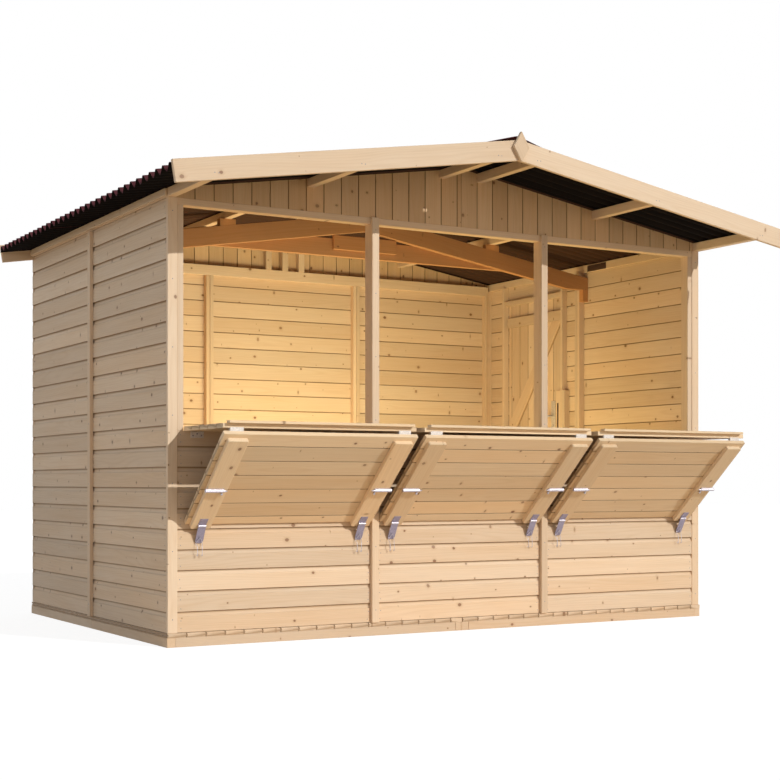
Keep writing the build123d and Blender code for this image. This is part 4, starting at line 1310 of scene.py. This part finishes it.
class STALL_OT_small_parts(bpy.types.Operator):
    """The plain cover plate and the nails in the boarding"""

    bl_idname = "stall.small_parts"
    bl_label = "Cover plate and nails"

    def execute(self, context):
        sizes = context.scene.stall_sizes
        low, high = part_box("eave_cover_plate")
        plate = Piece("eave_plate")
        plate.plate(rectangle(low.y, low.z, high.y, high.z), low.x, high.x, (X, Y, Z), 0.0012, segments=2)
        plate.build(["dark_plate"], "stall", "dark_plate", "eave_cover_plate", smooth=40)

        nails = Piece("boarding_nails")
        pitch, end_inset, stud_inset = sizes.board_pitch, 0.012, 0.030

        def column(x, y, z0, z1, out, lane):
            """Two nails a board along one stud; lane is the direction along the boards."""
            z = z0
            while z < z1 - 0.03:
                for up in (0.018, 0.052):
                    slip = nails.chance.uniform(-0.004, 0.004)
                    spot = Vector((x, y, z + up + nails.chance.uniform(-0.003, 0.003))) + lane * slip
                    if spot.z < z1 - 0.008:
                        nails.head(spot, out, sizes.nail_radius, 0.0007, sides=8)
                z += pitch

        left_low, left_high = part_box("left_wall")
        for y in (left_low.y + end_inset, -stud_inset, stud_inset, left_high.y - end_inset):
            column(left_low.x, y, left_low.z, left_high.z, -X, Y)
        right_low, right_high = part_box("right_wall_front")
        for y in (right_low.y + end_inset, -stud_inset):
            column(right_high.x, y, right_low.z, right_high.z, X, Y)
        for low, high in boxes("door_side_panels"):
            for y in (low.y + (stud_inset if low.y < 0.1 else end_inset), high.y - end_inset):
                column(high.x, y, low.z, high.z, X, Y)
        for node, out, inset in (("back_wall", Y, stud_inset), ("front_wall", -Y, 0.014)):
            for low, high in boxes(node):
                for x in (low.x + inset, high.x - inset):
                    column(x, high.y if out.y > 0 else low.y, low.z, high.z, out, X)
        nails.build(["nail_steel"], "stall", "galvanised_steel")

        # round-headed nails in battens, corner boards and bargeboards
        fixings = Piece("batten_nails")
        round_head, head_rise, end_space, half_pair = 0.0024, 0.0008, 0.06, 0.009
        for node, face in (("corner_boards", -Y), ("front_cover_battens", -Y), ("side_cover_battens", None)):
            for low, high in boxes(node):
                out = face or (Y if low.y > 1 else (X if low.x > 0 else -X))
                middle = (low + high) / 2
                z = low.z + end_space
                while z < high.z:
                    spot = Vector((middle.x, middle.y, z))
                    spot += out * (((high - low) / 2).dot(Vector([abs(c) for c in out])))
                    fixings.head(spot, out, round_head, head_rise)
                    z += (high.z - low.z - 2 * end_space) / 6
        purlin_boxes = boxes("purlins")
        for node, out in (("front_bargeboards", -Y), ("rear_bargeboards", Y)):
            low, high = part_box(node)
            y = low.y if out.y < 0 else high.y
            for p_low, p_high in purlin_boxes:
                x = (p_low.x + p_high.x) / 2
                for dx in (-half_pair, half_pair):
                    fixings.head(Vector((x + dx, y, p_low.z + 0.016)), out, round_head, head_rise)
        fixings.build(["nail_steel"], "stall", "galvanised_steel")
        return {"FINISHED"}


def lit(name, kind, aim, power, tint):
    """A lamp that shines along a direction."""
    lamp = bpy.data.lights.new(name, kind)
    lamp.energy, lamp.color = power, tint
    thing = bpy.data.objects.new(name, lamp)
    thing.rotation_euler = Vector(aim).to_track_quat("-Z", "Y").to_euler()
    bpy.context.scene.collection.objects.link(thing)
    return thing


class STALL_OT_stage(bpy.types.Operator):
    """Pale floor, plain light, and the camera"""

    bl_idname = "stall.stage"
    bl_label = "Stage"

    def execute(self, context):
        tones = context.scene.stall_colours
        scene = context.scene
        half = 30.0
        mesh = bpy.data.meshes.new("studio_floor")
        corners = [(x, y, 0) for x, y in rectangle(-half, -half, half, half)]
        mesh.from_pydata(corners, [], [(0, 1, 2, 3)])
        ground = bpy.data.objects.new("studio_floor", mesh)
        scene.collection.objects.link(ground)
        material, s = new_material("studio_floor")
        path = s.add("ShaderNodeLightPath")
        path = s.more(path, "Is Camera Ray").largest(s.more(path, "Is Glossy Ray"))
        matt = s.principled({"Base Color": tuple(tones.floor), "Roughness": 0.9})
        faint = s.principled({"Base Color": (0.22, 0.22, 0.22), "Roughness": 0.9})
        glow = s.add("ShaderNodeEmission", None, {"Color": (1.0, 1.0, 1.0), "Strength": 0.86})
        seen = s.add("ShaderNodeAddShader", None, {0: faint, 1: glow})
        s.close(s.add("ShaderNodeMixShader", None, {0: path, 1: matt, 2: seen}))
        mesh.materials.append(material)

        # white to the eye, a soft dome for the light that is bright at the horizon and dark overhead
        world = bpy.data.worlds.new("studio_light")
        scene.world = world
        w = Shader(world)
        path = w.add("ShaderNodeLightPath")
        white = w.more(path, "Is Camera Ray").largest(w.more(path, "Is Glossy Ray"))
        white = white.largest(w.more(path, "Is Transmission Ray"))
        _, _, height = w.parts(w.add("ShaderNodeTexCoord", None, None, "Generated"))
        high = height.limited() ** 0.6
        dome = w.blend((0.90, 0.84, 0.80), (0.02, 0.02, 0.025), high)
        fill = w.add("ShaderNodeBackground", None, {"Color": dome, "Strength": 1.0})
        clear = w.add("ShaderNodeBackground", None, {"Color": (1.0, 1.0, 1.0), "Strength": 1.0})
        w.close(w.add("ShaderNodeMixShader", None, {0: white, 1: fill, 2: clear}), "ShaderNodeOutputWorld")

        # the sun, and cool soft light from the left
        sun = lit("key_light", "SUN", (-0.39, 0.81, -0.445), 2.4, (0.98, 1.0, 0.97))
        sun.data.angle = radians(0.6)
        side = lit("side_light", "SUN", (1.0, 0.2, -0.3), 0.36, (0.12, 0.58, 1.0))
        side.data.angle = radians(60)

        # soft light inside: one panel towards the back wall, one that faces up
        _, floor_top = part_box("floor_boards")
        panels = (
            ((-0.35, -0.6, 0.70), (-0.10, 1.0, 0.05), (1.4, 0.6), 25.0, (1.0, 0.94, 0.65)),
            ((0.35, -0.25, 0.35), (0.0, 0.10, 1.0), (1.5, 1.1), 15.6, (1.0, 0.85, 0.34)),
        )
        for (x, y, rise), aim, (wide, deep), power, tint in panels:
            inside = lit("inside_light", "AREA", aim, power, tint)
            inside.data.shape = "RECTANGLE"
            inside.data.size, inside.data.size_y = wide, deep
            inside.location = (x, y, floor_top.z + rise)
            inside.visible_camera = False
            inside.visible_glossy = False

        lens = bpy.data.cameras.new("camera")
        lens.lens = 68.967
        lens.sensor_width = 36.0
        lens.shift_x = -0.05220
        lens.shift_y = 0.11903
        lens.clip_end = 200.0
        camera = bpy.data.objects.new("camera", lens)
        camera.location = (-3.9285, -7.2337, 0.7244)
        camera.rotation_euler = (radians(90), 0, -0.54356)
        scene.collection.objects.link(camera)
        scene.camera = camera
        scene.view_settings.view_transform = "Standard"
        return {"FINISHED"}


OPERATORS = (
    STALL_OT_base, STALL_OT_walls, STALL_OT_gables, STALL_OT_roof_timbers, STALL_OT_roofing,
    STALL_OT_hatches, STALL_OT_hatch_fittings, STALL_OT_door, STALL_OT_small_parts, STALL_OT_stage,
)


class STALL_PT_panel(bpy.types.Panel):
    """Lists the parts of the stall in the order in which they are built"""

    bl_idname = "STALL_PT_panel"
    bl_label = "Wooden Market Stall"
    bl_space_type = "VIEW_3D"
    bl_region_type = "UI"
    bl_category = "Stall"

    def draw(self, context):
        layout = self.layout
        for operator in OPERATORS:
            layout.operator(operator.bl_idname)
        for settings in (context.scene.stall_sizes, context.scene.stall_colours):
            column = layout.column()
            for name in settings.__annotations__:
                column.prop(settings, name)


CLASSES = (StallSizes, StallColours, *OPERATORS, STALL_PT_panel)


def register():
    for cls in CLASSES:
        bpy.utils.register_class(cls)
    bpy.types.Scene.stall_sizes = bpy.props.PointerProperty(type=StallSizes)
    bpy.types.Scene.stall_colours = bpy.props.PointerProperty(type=StallColours)


def unregister():
    del bpy.types.Scene.stall_sizes
    del bpy.types.Scene.stall_colours
    for cls in reversed(CLASSES):
        bpy.utils.unregister_class(cls)


def main():
    register()
    for operator in OPERATORS:
        group, name = operator.bl_idname.split(".")
        getattr(getattr(bpy.ops, group), name)()


if __name__ == "__main__":
    main()
